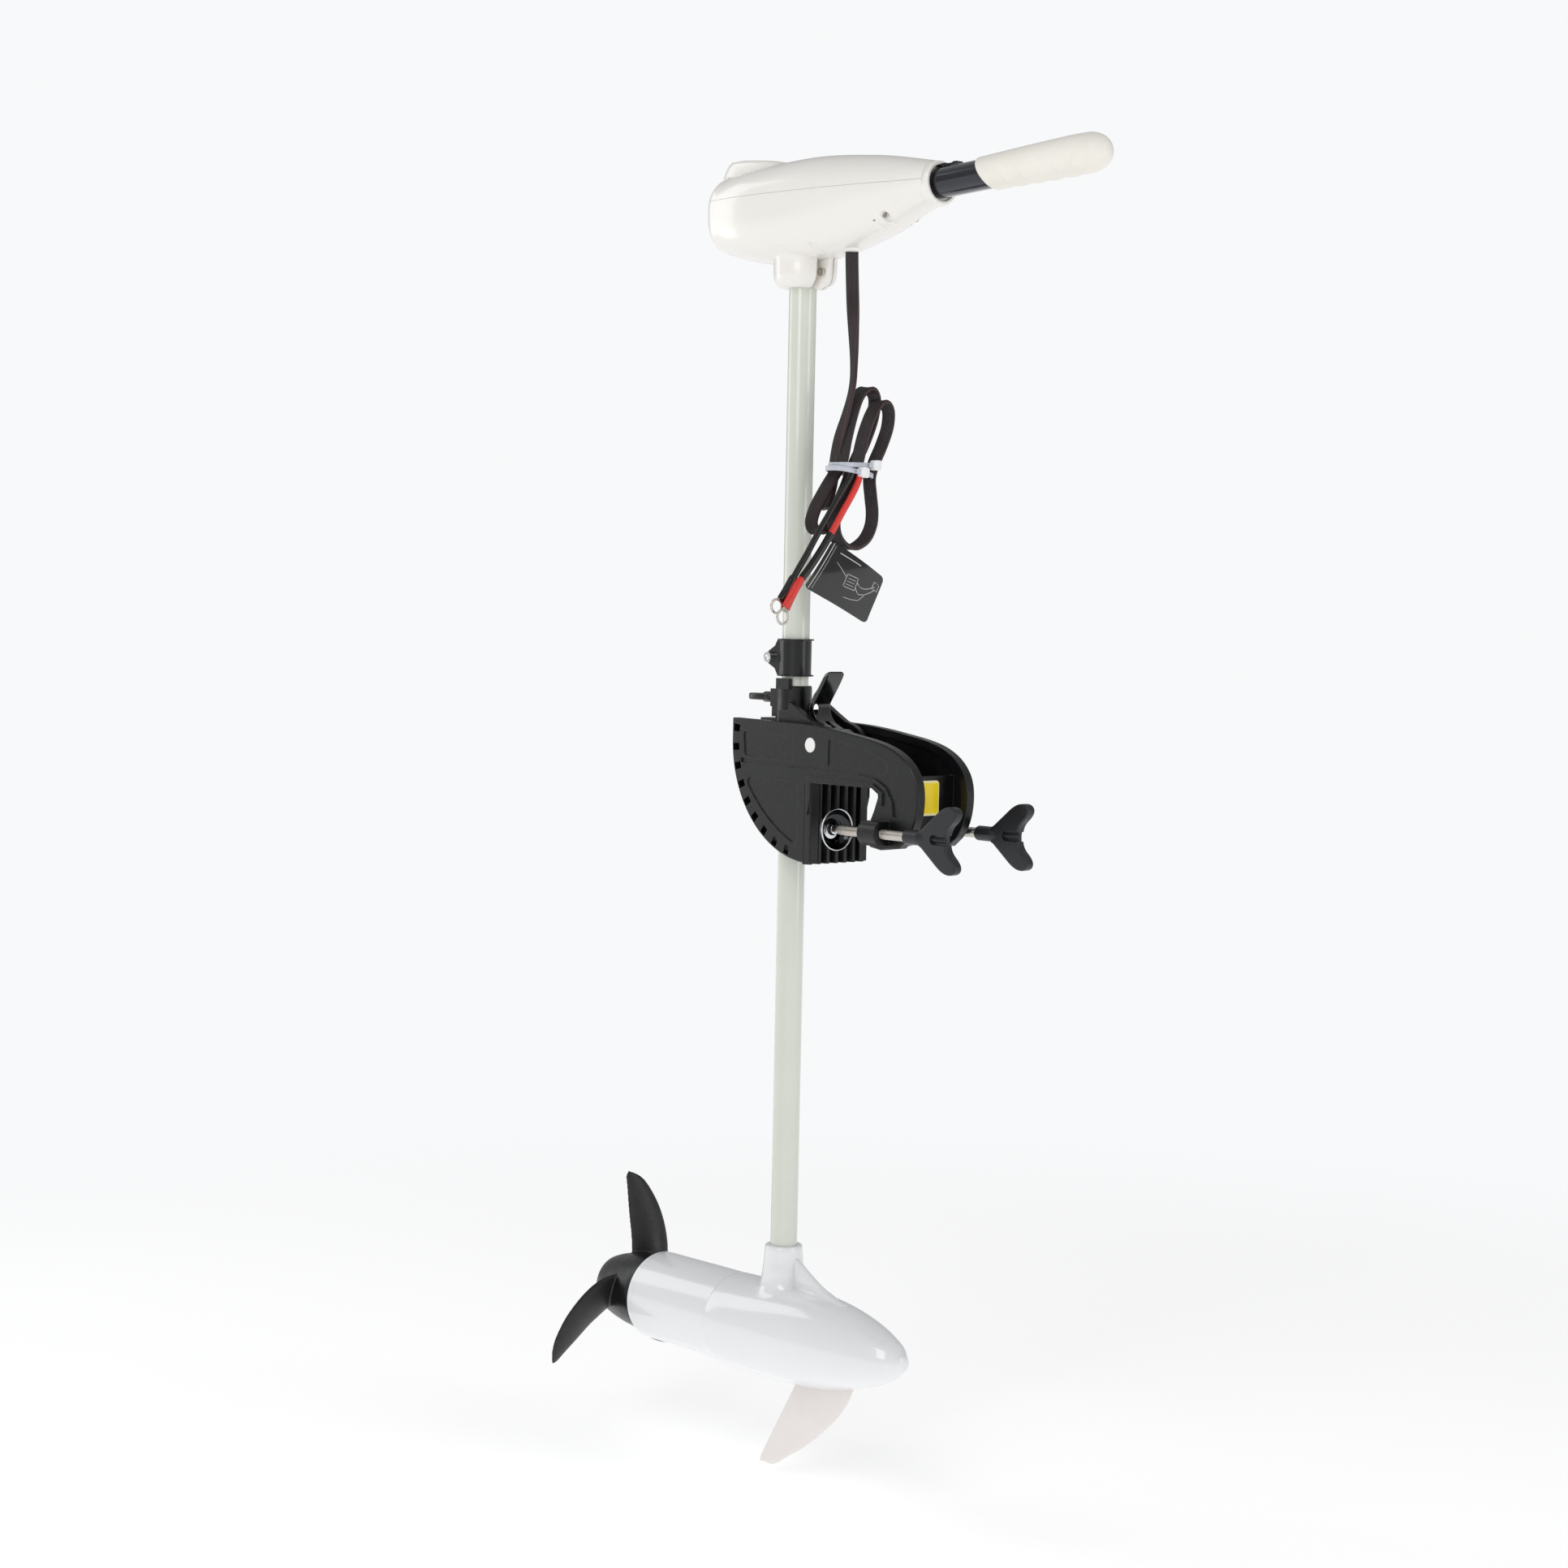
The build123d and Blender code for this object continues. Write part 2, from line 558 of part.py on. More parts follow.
with BuildPart() as rear_end_cap:
    with BuildSketch(side_plane(TUBE_REAR)):
        with BuildLine():
            Polyline(*CAP_SECTION, close=True)
        make_face()
    revolve(axis=PROP_AXIS)
    # groove for the O-ring
    with BuildSketch(side_plane(TUBE_REAR)):
        with Locations((4, 40)):
            Rectangle(2.6, 2.2)
    revolve(axis=PROP_AXIS, mode=Mode.SUBTRACT)
    # through bolt holes
    with Locations(at(TUBE_REAR - 2, BOLT_Y, 0), at(TUBE_REAR - 2, -BOLT_Y, 0)):
        cyl_x(BOLT_HOLE_R, 30, Mode.SUBTRACT)
save("rear_end_cap", rear_end_cap.part)


def nose_curve(offset):
    """Outline of the nose, grown outward; call it inside a BuildLine."""
    Spline(*[(x, radius + offset) for x, radius in NOSE_PROFILE], (NOSE_TIP + offset, 0),
           tangents=((1, 0.25), (0, -1)), tangent_scalars=(1, 0.5))


with BuildPart() as nose_housing:
    with BuildSketch(side_plane()):
        with BuildLine():
            nose_curve(0)
            Polyline((NOSE_TIP, 0), (148, 0), (140, 10), (110, 22), (60, 33), (5, 37),
                     (-5, 37), (-5, SPIGOT_R), (TUBE_FRONT, SPIGOT_R), NOSE_PROFILE[0])
        make_face()
    revolve(axis=PROP_AXIS)
    # bearing wall behind the nose cavity, with a boss that faces aft
    with BuildSketch(side_plane()):
        with BuildLine():
            Polyline((0, 6), (5, 6), (5, 38), (0, 38), (0, 15), (-8, 15),
                     (-8, BEARING_R + FIT), (0, BEARING_R + FIT), close=True)
        make_face()
    revolve(axis=PROP_AXIS)
    # shaft collar
    with BuildSketch(level_plane(38)):
        Circle(20.5)
    with BuildSketch(level_plane(COLLAR_TOP)):
        Circle(18.0)
    loft()
    # gusset web ahead of the collar
    with BuildSketch(side_plane(y=3)):
        with BuildLine():
            Polyline((12, 40), (12, 74), (20, 72), (50, 56), (84, 39), (60, 38), close=True)
        make_face()
    extrude(amount=6)
    # bore for the shaft down to the motor cavity
    with BuildSketch(level_plane(SHAFT_LOW)):
        Circle(SHAFT_R + FIT)
    extrude(amount=COLLAR_TOP, mode=Mode.SUBTRACT)
    # slot for the skeg, blind holes for the through bolts
    with Locations(at(61, 0, -45)):
        Box(70, 4.04, 14, mode=Mode.SUBTRACT)
    with Locations(at(-2, BOLT_Y, 0), at(-2, -BOLT_Y, 0)):
        cyl_x(BOLT_HOLE_R, 10, Mode.SUBTRACT)
save("nose_housing", nose_housing.part)

# fin with a swept leading edge and a straight trailing edge, tongue above
with BuildPart() as skeg:
    with BuildSketch(side_plane(y=3.2)):
        with BuildLine():
            Spline((102, -35.5), (96, -52), (80, -71), (58, -90), (30, -111), (3, -128))
            Polyline((3, -128), (-8, -134), (-24, -135), (-28, -131), (21, -49.5))
            Line((21, -49.5), (102, -35.5))
        make_face()
    extrude(amount=6.4)
    # keep the fin outside the nose
    SKEG_GAP = 0.05
    with BuildSketch(side_plane()):
        with BuildLine():
            nose_curve(SKEG_GAP)
            Polyline((NOSE_TIP + SKEG_GAP, 0), (TUBE_FRONT, 0),
                     (TUBE_FRONT, NOSE_PROFILE[0][1] + SKEG_GAP))
        make_face()
    revolve(axis=PROP_AXIS, mode=Mode.SUBTRACT)
    with Locations(at(61, 0, -46)):
        Box(69.8, 4.0, 11)
save("skeg", skeg.part)

with BuildPart() as magnets:
    with BuildSketch(cross_plane(-160)):
        Circle(INNER_FIT_R)
        Circle(34.0, mode=Mode.SUBTRACT)
        Rectangle(100, 26, mode=Mode.SUBTRACT)
        Rectangle(8, 100, mode=Mode.SUBTRACT)
    extrude(amount=80)
save("magnets", magnets.part)

DRIVE_PIN_X = -206
DRIVE_PIN_R = 2.0

with BuildPart() as armature_shaft:
    rod_x(-252, 2, AXLE_R)
    with Locations(at(DRIVE_PIN_X, 0, 0)):
        Cylinder(DRIVE_PIN_R + 0.03, 20, mode=Mode.SUBTRACT)
save("armature_shaft", armature_shaft.part)

# laminated core with winding slots
CORE_REAR, CORE_LENGTH = -150, 60
with BuildPart() as armature_core:
    with BuildSketch(cross_plane(CORE_REAR)):
        Circle(33.0)
        Circle(AXLE_R + FIT, mode=Mode.SUBTRACT)
    with BuildSketch(cross_plane(CORE_REAR), mode=Mode.PRIVATE) as slots:
        with PolarLocations(27, SLOT_COUNT):
            Rectangle(13, 5)
    extrude(amount=CORE_LENGTH)
    extrude(slots.sketch, amount=CORE_LENGTH, mode=Mode.SUBTRACT)
save("armature_core", armature_core.part)

with BuildPart() as armature_windings:
    # end coils behind and ahead of the core
    for rear, length in ((-162, 11.9), (-89.9, 12)):
        with BuildSketch(cross_plane(rear)):
            Circle(32.0)
            Circle(9.0, mode=Mode.SUBTRACT)
        extrude(amount=length)
    # wires in the slots
    with BuildSketch(cross_plane(CORE_REAR - 0.5)):
        with PolarLocations(26.5, SLOT_COUNT):
            Rectangle(9, 4.6)
    extrude(amount=CORE_LENGTH + 1)
save("armature_windings", armature_windings.part)

with BuildPart() as commutator:
    with Locations(at(-58, 0, 0)):
        cyl_x(14, 22)
        cyl_x(AXLE_R + FIT, 30, Mode.SUBTRACT)
    with BuildSketch(cross_plane(-70)):
        with PolarLocations(13.5, SLOT_COUNT):
            Rectangle(3, 0.8)
    extrude(amount=24, mode=Mode.SUBTRACT)
save("commutator", commutator.part)

with BuildPart() as motor_bearings:
    for middle in (TUBE_REAR + 4.6, -4.4):
        with Locations(at(middle, 0, 0)):
            cyl_x(BEARING_R, 6.6)
            cyl_x(AXLE_R + 0.03, 10, Mode.SUBTRACT)
save("motor_bearings", motor_bearings.part)

with BuildPart() as motor_seals:
    # O-ring in the end cap groove, then the two lip seals
    with BuildSketch(side_plane(TUBE_REAR)):
        with Locations((4, 39.98)):
            Circle(0.95)
    revolve(axis=PROP_AXIS)
    for middle in (TUBE_REAR - 1.9, TUBE_REAR - 6.9):
        with Locations(at(middle, 0, 0)):
            cyl_x(9.45, 3.8)
            cyl_x(AXLE_R + 0.03, 10, Mode.SUBTRACT)
save("motor_seals", motor_seals.part)

with BuildPart() as through_bolts:
    for side in (-1, 1):
        rod_x(TUBE_REAR - 3, 2, 2.0, side * BOLT_Y)
save("through_bolts", through_bolts.part)

with BuildPart() as brush_plate:
    with BuildSketch(cross_plane(-46)):
        Circle(INNER_FIT_R)
        Circle(17.0, mode=Mode.SUBTRACT)
        with Locations((BOLT_Y, 0), (-BOLT_Y, 0)):
            Circle(2.2, mode=Mode.SUBTRACT)
    extrude(amount=3)
    # brush holders
    for side in (-1, 1):
        with Locations(at(BRUSH_X, 0, side * 25)):
            Box(15, 12, 14)
            Box(9.1, 8.1, 30, mode=Mode.SUBTRACT)
save("brush_plate", brush_plate.part)

with BuildPart() as brushes:
    for side in (-1, 1):
        with Locations(at(BRUSH_X, 0, side * 20.55)):
            Box(9, 8, 13)
save("brushes", brushes.part)

with BuildPart() as brush_springs:
    for side in (-1, 1):
        with Locations(at(BRUSH_X, 0, side * 31.5)):
            Cylinder(3.2, 8.5)
            Cylinder(2.2, 10, mode=Mode.SUBTRACT)
save("brush_springs", brush_springs.part)

# ================================================================= PROPELLER
BLADE_COUNT = 3
BLADE_ANGLE = 92.2      # direction of the first blade tip, degrees
BLADE_X = -222          # station that the section middles are measured from
# radius, sweep angle, chord along the axis, chord around the axis, thickness,
# middle of the section along the axis
BLADE = (
    (31, 33.5, 16, 32.6, 7.0, -1.0),
    (45, 29.0, 13.6, 41.9, 6.0, -2.6),
    (60, 21.3, 11.4, 42.2, 5.0, -4.7),
    (76, 14.4, 9.1, 39.3, 4.2, -6.0),
    (98, 7.1, 5.2, 29.3, 3.2, -7.7),
    (111, 3.2, 3.6, 19.3, 2.3, -8.4),
    (PROP_R - 1, 0.0, 1.0, 5.2, 1.5, -9.4),
)
# blade section as fractions of (chord, thickness)
BLADE_SECTION = [(-0.49, -0.12), (-0.49, 0.12), (-0.3, 0.4), (0, 0.5), (0.3, 0.36),
                 (0.5, 0.1), (0.5, -0.1), (0.3, -0.36), (0, -0.5), (-0.3, -0.4)]

with BuildPart() as propeller:
    # hollow hub, tapering aft
    with BuildSketch(side_plane()):
        with BuildLine():
            Polyline((-188, 5.05), (-188, 38), (-192, 39.5), (-205, 39))
            Spline((-205, 39), (-225, 36.5), (-243, 33), (-256, 28))
            Polyline((-256, 28), (-256, 24), (-212, 20), (-212, 5.05), (-188, 5.05))
        make_face()
    revolve(axis=PROP_AXIS)
    # blades, lofted outward; the pitch falls toward the tip
    for k in range(BLADE_COUNT):
        tip_angle = BLADE_ANGLE + 360 / BLADE_COUNT * k
        for radius, sweep_angle, chord_axial, chord_around, thickness, middle in BLADE:
            angle = radians(tip_angle - sweep_angle)
            outward = Vector(0, cos(angle), sin(angle))
            around = Vector(0, sin(angle), -cos(angle))
            chord = (chord_axial ** 2 + chord_around ** 2) ** 0.5
            chord_dir = (Vector(chord_axial, 0, 0) + around * chord_around).normalized()
            centre = Vector(*at(BLADE_X + middle, 0, 0)) + outward * radius
            with BuildSketch(Plane(origin=centre, x_dir=chord_dir, z_dir=outward)):
                with BuildLine():
                    Polyline(*[(chord * u, thickness * v) for u, v in BLADE_SECTION],
                             close=True)
                make_face()
        loft()
    # slot for the drive pin, bore for the armature shaft
    with Locations(at(DRIVE_PIN_X, 0, 0)):
        Cylinder(DRIVE_PIN_R + 0.05, 28, mode=Mode.SUBTRACT)
    with Locations(at(DRIVE_PIN_X, 0, 0)):
        cyl_x(AXLE_R + 0.05, 60, Mode.SUBTRACT)
save("propeller", propeller.part)

with BuildPart() as drive_pin:
    with Locations(at(DRIVE_PIN_X, 0, 0)):
        Cylinder(DRIVE_PIN_R, 26)
save("drive_pin", drive_pin.part)

with BuildPart() as prop_nut:
    with BuildSketch(cross_plane(-224.2)):
        RegularPolygon(9.5, 6)
        Circle(AXLE_R + FIT, mode=Mode.SUBTRACT)
    extrude(amount=10)
    # flange
    with BuildSketch(cross_plane(-214.2)):
        Circle(11)
        Circle(AXLE_R + FIT, mode=Mode.SUBTRACT)
    extrude(amount=2)
save("prop_nut", prop_nut.part)

# ================================================================= CONTROL HEAD
SEAM = 1084.0           # z of the joint between the covers
CABLE_X = 66.0          # hanging cable
EAR_X, EAR_Z = 27, HEAD_BOTTOM + 14.5  # socket screw across the clamp ear
METER_X = -72
# stations of the head: x, bottom z, top z, half width
HEAD_STATIONS = (
    (-112, 1062, 1100, 22), (-104, 1050, 1108, 33), (-88, 1038, 1113, 41),
    (-55, 1028, 1117, 45.5), (-10, 1024, 1119, 45.5), (35, 1024, 1119.5, 43),
    (80, 1029.5, 1116, 38), (122, 1039.5, 1110.5, 30.8), (158, 1054, 1104.5, 23.6),
    (178, 1061, 1101.9, 20.9),
)
# port half of a head section, bottom to top, as fractions of (half width, height)
HEAD_HALF = [(0, 0), (0.62, 0.055), (0.93, 0.28), (1, 0.55), (0.90, 0.80), (0.58, 0.955),
             (0, 1)]
HEAD_SECTION = HEAD_HALF + [(-u, v) for u, v in reversed(HEAD_HALF[1:-1])]
# cuts where the tiller enters: offset along the tiller, radius, length
TILLER_MOUTH = ((-30, 19.0, 60), (-8, 20.3, 30))
# cross posts for the cover screws: x, z, screw seat from the middle plane, post radius
POSTS = ((131, 1056, 18.0, 5.0), (37, 1040, 27.0, 6.0))


def head_sections(inset, rear, front):
    """Head sections between two x positions, shrunk by an inset."""
    sections = []
    for x, bottom, top, half_width in HEAD_STATIONS:
        if x < rear or x > front:
            continue
        low = bottom + inset
        height = top - inset - low
        width = half_width - inset
        with BuildSketch(cross_plane(x), mode=Mode.PRIVATE) as section:
            with BuildLine():
                Spline(*[(width * u, low + height * v) for u, v in HEAD_SECTION],
                       periodic=True)
            make_face()
        sections.append(section.sketch.faces()[0])
    return sections


with BuildPart() as head_outer:
    loft(head_sections(0, -200, 200))
with BuildPart() as head_inner:
    loft(head_sections(3.0, -106, 165))

# posts trimmed to the outer surface of the head
post_solids = [head_outer.part & (Location(at(x, 0, z)) * Cylinder(radius, 120, rotation=YROT))
               for x, z, seat, radius in POSTS]

with BuildPart() as head_lower_cover:
    add(head_outer.part)
    # clamp socket that takes the top of the shaft: round skirt, notched in front for the ear
    with BuildSketch(level_plane(HEAD_BOTTOM)):
        Circle(23.5)
    with BuildSketch(level_plane(HEAD_BOTTOM + 9)):
        Circle(28.0)
    loft()
    with BuildSketch(level_plane(HEAD_BOTTOM + 9)):
        Circle(28.0)
    extrude(amount=27)
    with Locations(at(28, -1, HEAD_BOTTOM + 12)):
        Box(24, 14, 30, mode=Mode.SUBTRACT)
    with BuildSketch(side_plane(0, 11.5, HEAD_BOTTOM)):
        with BuildLine():
            Polyline((13.5, 1), (30, 1), (34, 6), (35, 30), (13.5, 30), close=True)
        make_face()
    extrude(amount=11.5)
    add(head_inner.part, mode=Mode.SUBTRACT)
    # inner socket wall and shaft bore
    with BuildSketch(level_plane(HEAD_BOTTOM)):
        Circle(20.0)
    extrude(amount=44)
    with BuildSketch(level_plane(HEAD_BOTTOM - 1)):
        Circle(SHAFT_R + FIT)
    extrude(amount=60, mode=Mode.SUBTRACT)
    # slit and screw hole of the clamp ear
    with Locations(at(26, 5.8, HEAD_BOTTOM + 12)):
        Box(34, 1.4, 27, mode=Mode.SUBTRACT)
    with Locations(at(EAR_X, 5, EAR_Z)):
        cyl_y(2.7, 14, Mode.SUBTRACT)
    # cable gland hole
    with Locations(at(CABLE_X, 0, 1030)):
        Cylinder(7.5, 20, mode=Mode.SUBTRACT)
    for offset, radius, length in TILLER_MOUTH:
        with BuildSketch(TILLER.offset(offset)):
            Circle(radius)
        extrude(amount=length, mode=Mode.SUBTRACT)
    # screw posts and their dimples on the lower sides
    for (x, z, seat, radius), post in zip(POSTS, post_solids):
        add(post)
        for side in (-1, 1):
            with Locations(at(x, side * (seat + 20), z)):
                cyl_y(4.0, 40, Mode.SUBTRACT)
            with Locations(at(x, side * (seat - 5), z)):
                cyl_y(1.62, 12, Mode.SUBTRACT)
    split(bisect_by=level_plane(SEAM), keep=Keep.BOTTOM)
save("head_lower_cover", head_lower_cover.part)

with BuildPart() as head_upper_cover:
    add(head_outer.part)
    # raised pod for the battery meter
    with BuildSketch(side_plane(y=20)):
        with BuildLine():
            Polyline((-100, 1100), (-100, 1117), (-94, 1123), (-60, 1123.5), (-30, 1119),
                     (-25, 1100), close=True)
        make_face()
    extrude(amount=40)
    add(head_inner.part, mode=Mode.SUBTRACT)
    for offset, radius, length in TILLER_MOUTH:
        with BuildSketch(TILLER.offset(offset)):
            Circle(radius)
        extrude(amount=length, mode=Mode.SUBTRACT)
    # recess for the meter lens
    with Locations(at(METER_X, 0, 1124)):
        Box(36, 26, 7, mode=Mode.SUBTRACT)
    split(bisect_by=level_plane(SEAM), keep=Keep.TOP)
save("head_upper_cover", head_upper_cover.part)

with BuildPart() as meter_lens:
    with Locations(at(METER_X, 0, 1122.2)):
        Box(35.8, 25.8, 3.2)
save("meter_lens", meter_lens.part)

# board with a row of five round studs
with BuildPart() as meter_board:
    with Locations(at(-66, 0, 1098)):
        Box(44, 32, 1.6)
    for i in range(5):
        with Locations(at(-80 + 7 * i, 0, 1100.4)):
            Cylinder(1.5, 3.2)
save("meter_board", meter_board.part)

with BuildPart() as head_screws:
    for x, z, seat, radius in POSTS:
        for side in (-1, 1):
            with Locations(at(x, side * (seat + 1.2), z)):
                cyl_y(3.4, 2.3)
            with Locations(at(x, side * (seat - 4.0), z)):
                cyl_y(1.6, 9)
    # socket screw across the clamp ear
    with Locations(at(EAR_X, 5, EAR_Z)):
        cyl_y(2.5, 12)
    with Locations(at(EAR_X, -1.6, EAR_Z)):
        cyl_y(3.9, 3.1)
    with BuildSketch(side_plane(y=-3.2)):
        with Locations((EAR_X, EAR_Z)):
            RegularPolygon(2.1, 6)
    extrude(amount=-1.8, mode=Mode.SUBTRACT)
save("head_screws", head_screws.part)

# ================================================================= TILLER
# Lengths run along the tiller from the point where it leaves the head.
SLEEVE_OUT_R = 16.5     # twist sleeve

# front bearing ring of the head, seen around the tiller tube
with BuildPart() as nose_ring:
    with BuildSketch(TILLER_SIDE):
        with BuildLine():
            Polyline((-26, 16.6), (-26, 18.95), (-7.9, 18.95), (-7.9, 20.25), (0, 20.25),
                     (2, 18.6), (2, 16.6), close=True)
        make_face()
    revolve(axis=TILLER_AXIS)
save("nose_ring", nose_ring.part)

with BuildPart() as twist_sleeve:
    with BuildSketch(TILLER.offset(-122)):
        Circle(SLEEVE_OUT_R)
        Circle(TILLER_R + RUN, mode=Mode.SUBTRACT)
    extrude(amount=120)
save("twist_sleeve", twist_sleeve.part)

# ring on the twist sleeve with sixteen notches around its rim
with BuildPart() as switch_rotor:
    with BuildSketch(TILLER.offset(-100)):
        Circle(20.0)
        with PolarLocations(20.5, 16):
            Circle(1.6, mode=Mode.SUBTRACT)
        Circle(SLEEVE_OUT_R + 0.05, mode=Mode.SUBTRACT)
    extrude(amount=8)
save("switch_rotor", switch_rotor.part)

with BuildPart() as speed_switch:
    with BuildSketch(TILLER.offset(-88)):
        with Locations((0, -15)):
            Rectangle(44, 24)
        Circle(17.0, mode=Mode.SUBTRACT)
    extrude(amount=24)
save("speed_switch", speed_switch.part)

with BuildPart() as extension_latch:
    with BuildSketch(TILLER_SIDE.offset(-4)):
        with BuildLine():
            Polyline((-1.8, 14.1), (-1.8, 15.6), (3, 15.7), (4, 16.6), (10, 16.6), (12, 15.6),
                     (18, 15.6), (20, 16.4), (24, 16.2), (25, 14.1), close=True)
        make_face()
    extrude(amount=8)
save("extension_latch", extension_latch.part)

with BuildPart() as tiller_tube:
    with BuildSketch(TILLER.offset(-165)):
        Circle(TILLER_R)
        Circle(12.0, mode=Mode.SUBTRACT)
    extrude(amount=320)
save("tiller_tube", tiller_tube.part)

# moulded grip: slight swell, rounded tip
with BuildPart() as tiller_grip:
    with BuildSketch(TILLER_SIDE):
        with BuildLine():
            Spline((38, 15.2), (80, 16.2), (120, 17.2), (168, 17.6), (185, 15.6),
                   (196.5, 9.8), (201, 0), tangents=((1, 0), (0, -1)))
            Polyline((201, 0), (38, 0), (38, 15.2))
        make_face()
    revolve(axis=TILLER_AXIS)
    # slanted rear end
    with BuildSketch(TILLER_SIDE.offset(-30)):
        with BuildLine():
            Polyline((20, 30), (50.5, 30), (51, 15), (68, -16), (68, -30), (20, -30),
                     close=True)
        make_face()
    extrude(amount=60, mode=Mode.SUBTRACT)
    # blind bore for the tiller tube
    with BuildSketch(TILLER.offset(30)):
        Circle(TILLER_R + FIT)
    extrude(amount=125.1, mode=Mode.SUBTRACT)
    # finger scallops on the underside
    with BuildSketch(TILLER_SIDE.offset(-24)):
        with Locations(*[(84 + 15 * i, -27.5) for i in range(6)]):
            Circle(10.8)
    extrude(amount=48, mode=Mode.SUBTRACT)
save("tiller_grip", tiller_grip.part)

# ================================================================= CABLE
DROP_BOTTOM, DROP_TOP = 842, 1034  # straight run below the gland
# outline of the gathered loops, (y, z)
LOOPS = [(-4, 852), (18, 898), (32, 909), (54, 902), (60, 880), (50, 858), (32, 843),
         (32, 815), (37, 800), (33, 778), (14, 758), (-4, 756), (-22, 762), (-42, 770),
         (-36, 792), (-15, 815), (-15, 838)]
BLACK_X, RED_X = CABLE_X + 9.6, CABLE_X + 15.6
# name, then upper and lower end as (x, y, z)
LEADS = (
    ("battery_lead_black", (BLACK_X, 8, 818), (BLACK_X, -78, 710)),
    ("battery_lead_red", (RED_X, 12, 818), (RED_X, -70, 700)),
)

with BuildPart() as cable_gland:
    with Locations(at(CABLE_X, 0, 1029)):
        Cylinder(7.4, 14)
    with Locations(at(CABLE_X, 0, 1021)):
        Cylinder(9.0, 4)
        Box(11.3, 6.3, 60, mode=Mode.SUBTRACT)
save("cable_gland", cable_gland.part)

# straight drop from the gland, then a bundle of flat loops gathered by the ties
with BuildPart() as power_cable:
    with BuildSketch(level_plane(DROP_BOTTOM)):
        with Locations((CABLE_X, 0)):
            Rectangle(11, 5)
    extrude(amount=DROP_TOP - DROP_BOTTOM)
    with BuildSketch(cross_plane(CABLE_X + 6)) as loops:
        with BuildLine():
            Polyline(*LOOPS, close=True)
        make_face()
        fillet(loops.vertices(), 4)
        with Locations((12, 792)):
            Ellipse(7, 20, rotation=-12, mode=Mode.SUBTRACT)
    extrude(amount=-13)
save("power_cable", power_cable.part)

with BuildPart() as cable_ties:
    # two tilted bands, then their locking heads
    for z, tilt in ((832, -4), (822.5, 6)):
        with BuildSketch(Plane(origin=at(CABLE_X - 0.5, 8, z), x_dir=(1, 0, 0),
                               z_dir=(0, sin(radians(tilt)), cos(radians(tilt))))):
            RectangleRounded(17.5, 58, 5)
            RectangleRounded(14.9, 55.4, 4, mode=Mode.SUBTRACT)
        extrude(amount=4.6)
    for y, z in ((27, 834), (7, 825.5)):
        with BuildSketch(cross_plane(CABLE_X + 12.0, y, z)):
            Rectangle(8, 9)
        extrude(amount=-3.6)
save("cable_ties", cable_ties.part)

# round lead with a thicker end piece
for name, upper_end, lower_end in LEADS:
    start = at(*upper_end)
    run = Vector(*at(*lower_end)) - Vector(*start)
    lead_plane = Plane(origin=start, z_dir=run.normalized())
    with BuildPart() as battery_lead:
        with BuildSketch(lead_plane):
            Circle(2.6)
        extrude(amount=run.length - 20)
        with BuildSketch(lead_plane.offset(run.length - 22)):
            Circle(3.6)
        with BuildSketch(lead_plane.offset(run.length - 2)):
            Ellipse(3.4, 3.0)
        loft()
    save(name, battery_lead.part)

with BuildPart() as ring_terminals:
    for position in ((BLACK_X, -87, 698), (RED_X, -79, 687.5)):
        with BuildSketch(cross_plane(*position)):
            Circle(7.3)
            Circle(5.25, mode=Mode.SUBTRACT)
        extrude(amount=1.2)
save("ring_terminals", ring_terminals.part)

with BuildPart() as cable_tag:
    with BuildSketch(cross_plane(CABLE_X + 3.0)) as tag:
        with BuildLine():
            Polyline((-24, 757), (45, 728), (26, 683), (-54, 716), close=True)
        make_face()
        fillet(tag.vertices(), 4)
        with Locations((-24, 748)):
            Circle(2.6, mode=Mode.SUBTRACT)
    extrude(amount=-0.9)
save("cable_tag", cable_tag.part)
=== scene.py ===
# An electric outboard with a clamp bracket, a control head and a twist-grip tiller.
# The shaft stands along Z and the propeller turns about an axis along X. The tiller, the clamp
# screws and the nose of the motor point to +X, the propeller to -X. Piece sizes are in
# millimetres from the shaft axis and the propeller axis; at() turns them into scene metres.
import bpy, bmesh, math, json
import numpy as np
from mathutils import Vector, Matrix


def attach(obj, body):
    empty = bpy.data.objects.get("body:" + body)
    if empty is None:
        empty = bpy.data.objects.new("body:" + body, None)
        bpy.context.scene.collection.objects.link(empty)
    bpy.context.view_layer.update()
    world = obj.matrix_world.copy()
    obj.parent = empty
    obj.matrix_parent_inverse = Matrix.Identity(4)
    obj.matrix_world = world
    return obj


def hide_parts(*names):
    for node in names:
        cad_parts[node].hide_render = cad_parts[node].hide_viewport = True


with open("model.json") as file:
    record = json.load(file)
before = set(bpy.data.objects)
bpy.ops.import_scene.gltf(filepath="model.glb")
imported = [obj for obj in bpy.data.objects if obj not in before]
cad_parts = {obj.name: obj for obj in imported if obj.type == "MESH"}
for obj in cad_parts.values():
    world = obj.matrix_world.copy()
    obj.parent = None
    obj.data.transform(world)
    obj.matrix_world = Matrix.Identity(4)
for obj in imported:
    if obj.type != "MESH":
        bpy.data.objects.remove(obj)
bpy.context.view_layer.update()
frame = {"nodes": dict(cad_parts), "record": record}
NODES = frame["nodes"]
SHAFT_X, PROP_Z = -0.109, -0.535    # metres
TAU = 2 * math.pi
X_AXIS, Y_AXIS, Z_AXIS = (1, 0, 0), (0, 1, 0), (0, 0, 1)


def at(x, y, z):
    """millimetres from the shaft and propeller axes to scene metres"""
    return Vector((x / 1000 + SHAFT_X, y / 1000, z / 1000 + PROP_Z))


# ------------------------------------------------------------------ materials
def linear(code):
    """hex sRGB colour to linear RGBA"""
    parts = [int(code[i:i + 2], 16) / 255 for i in (1, 3, 5)]
    return [((c + 0.055) / 1.055) ** 2.4 if c > 0.04045 else c / 12.92 for c in parts] + [1.0]


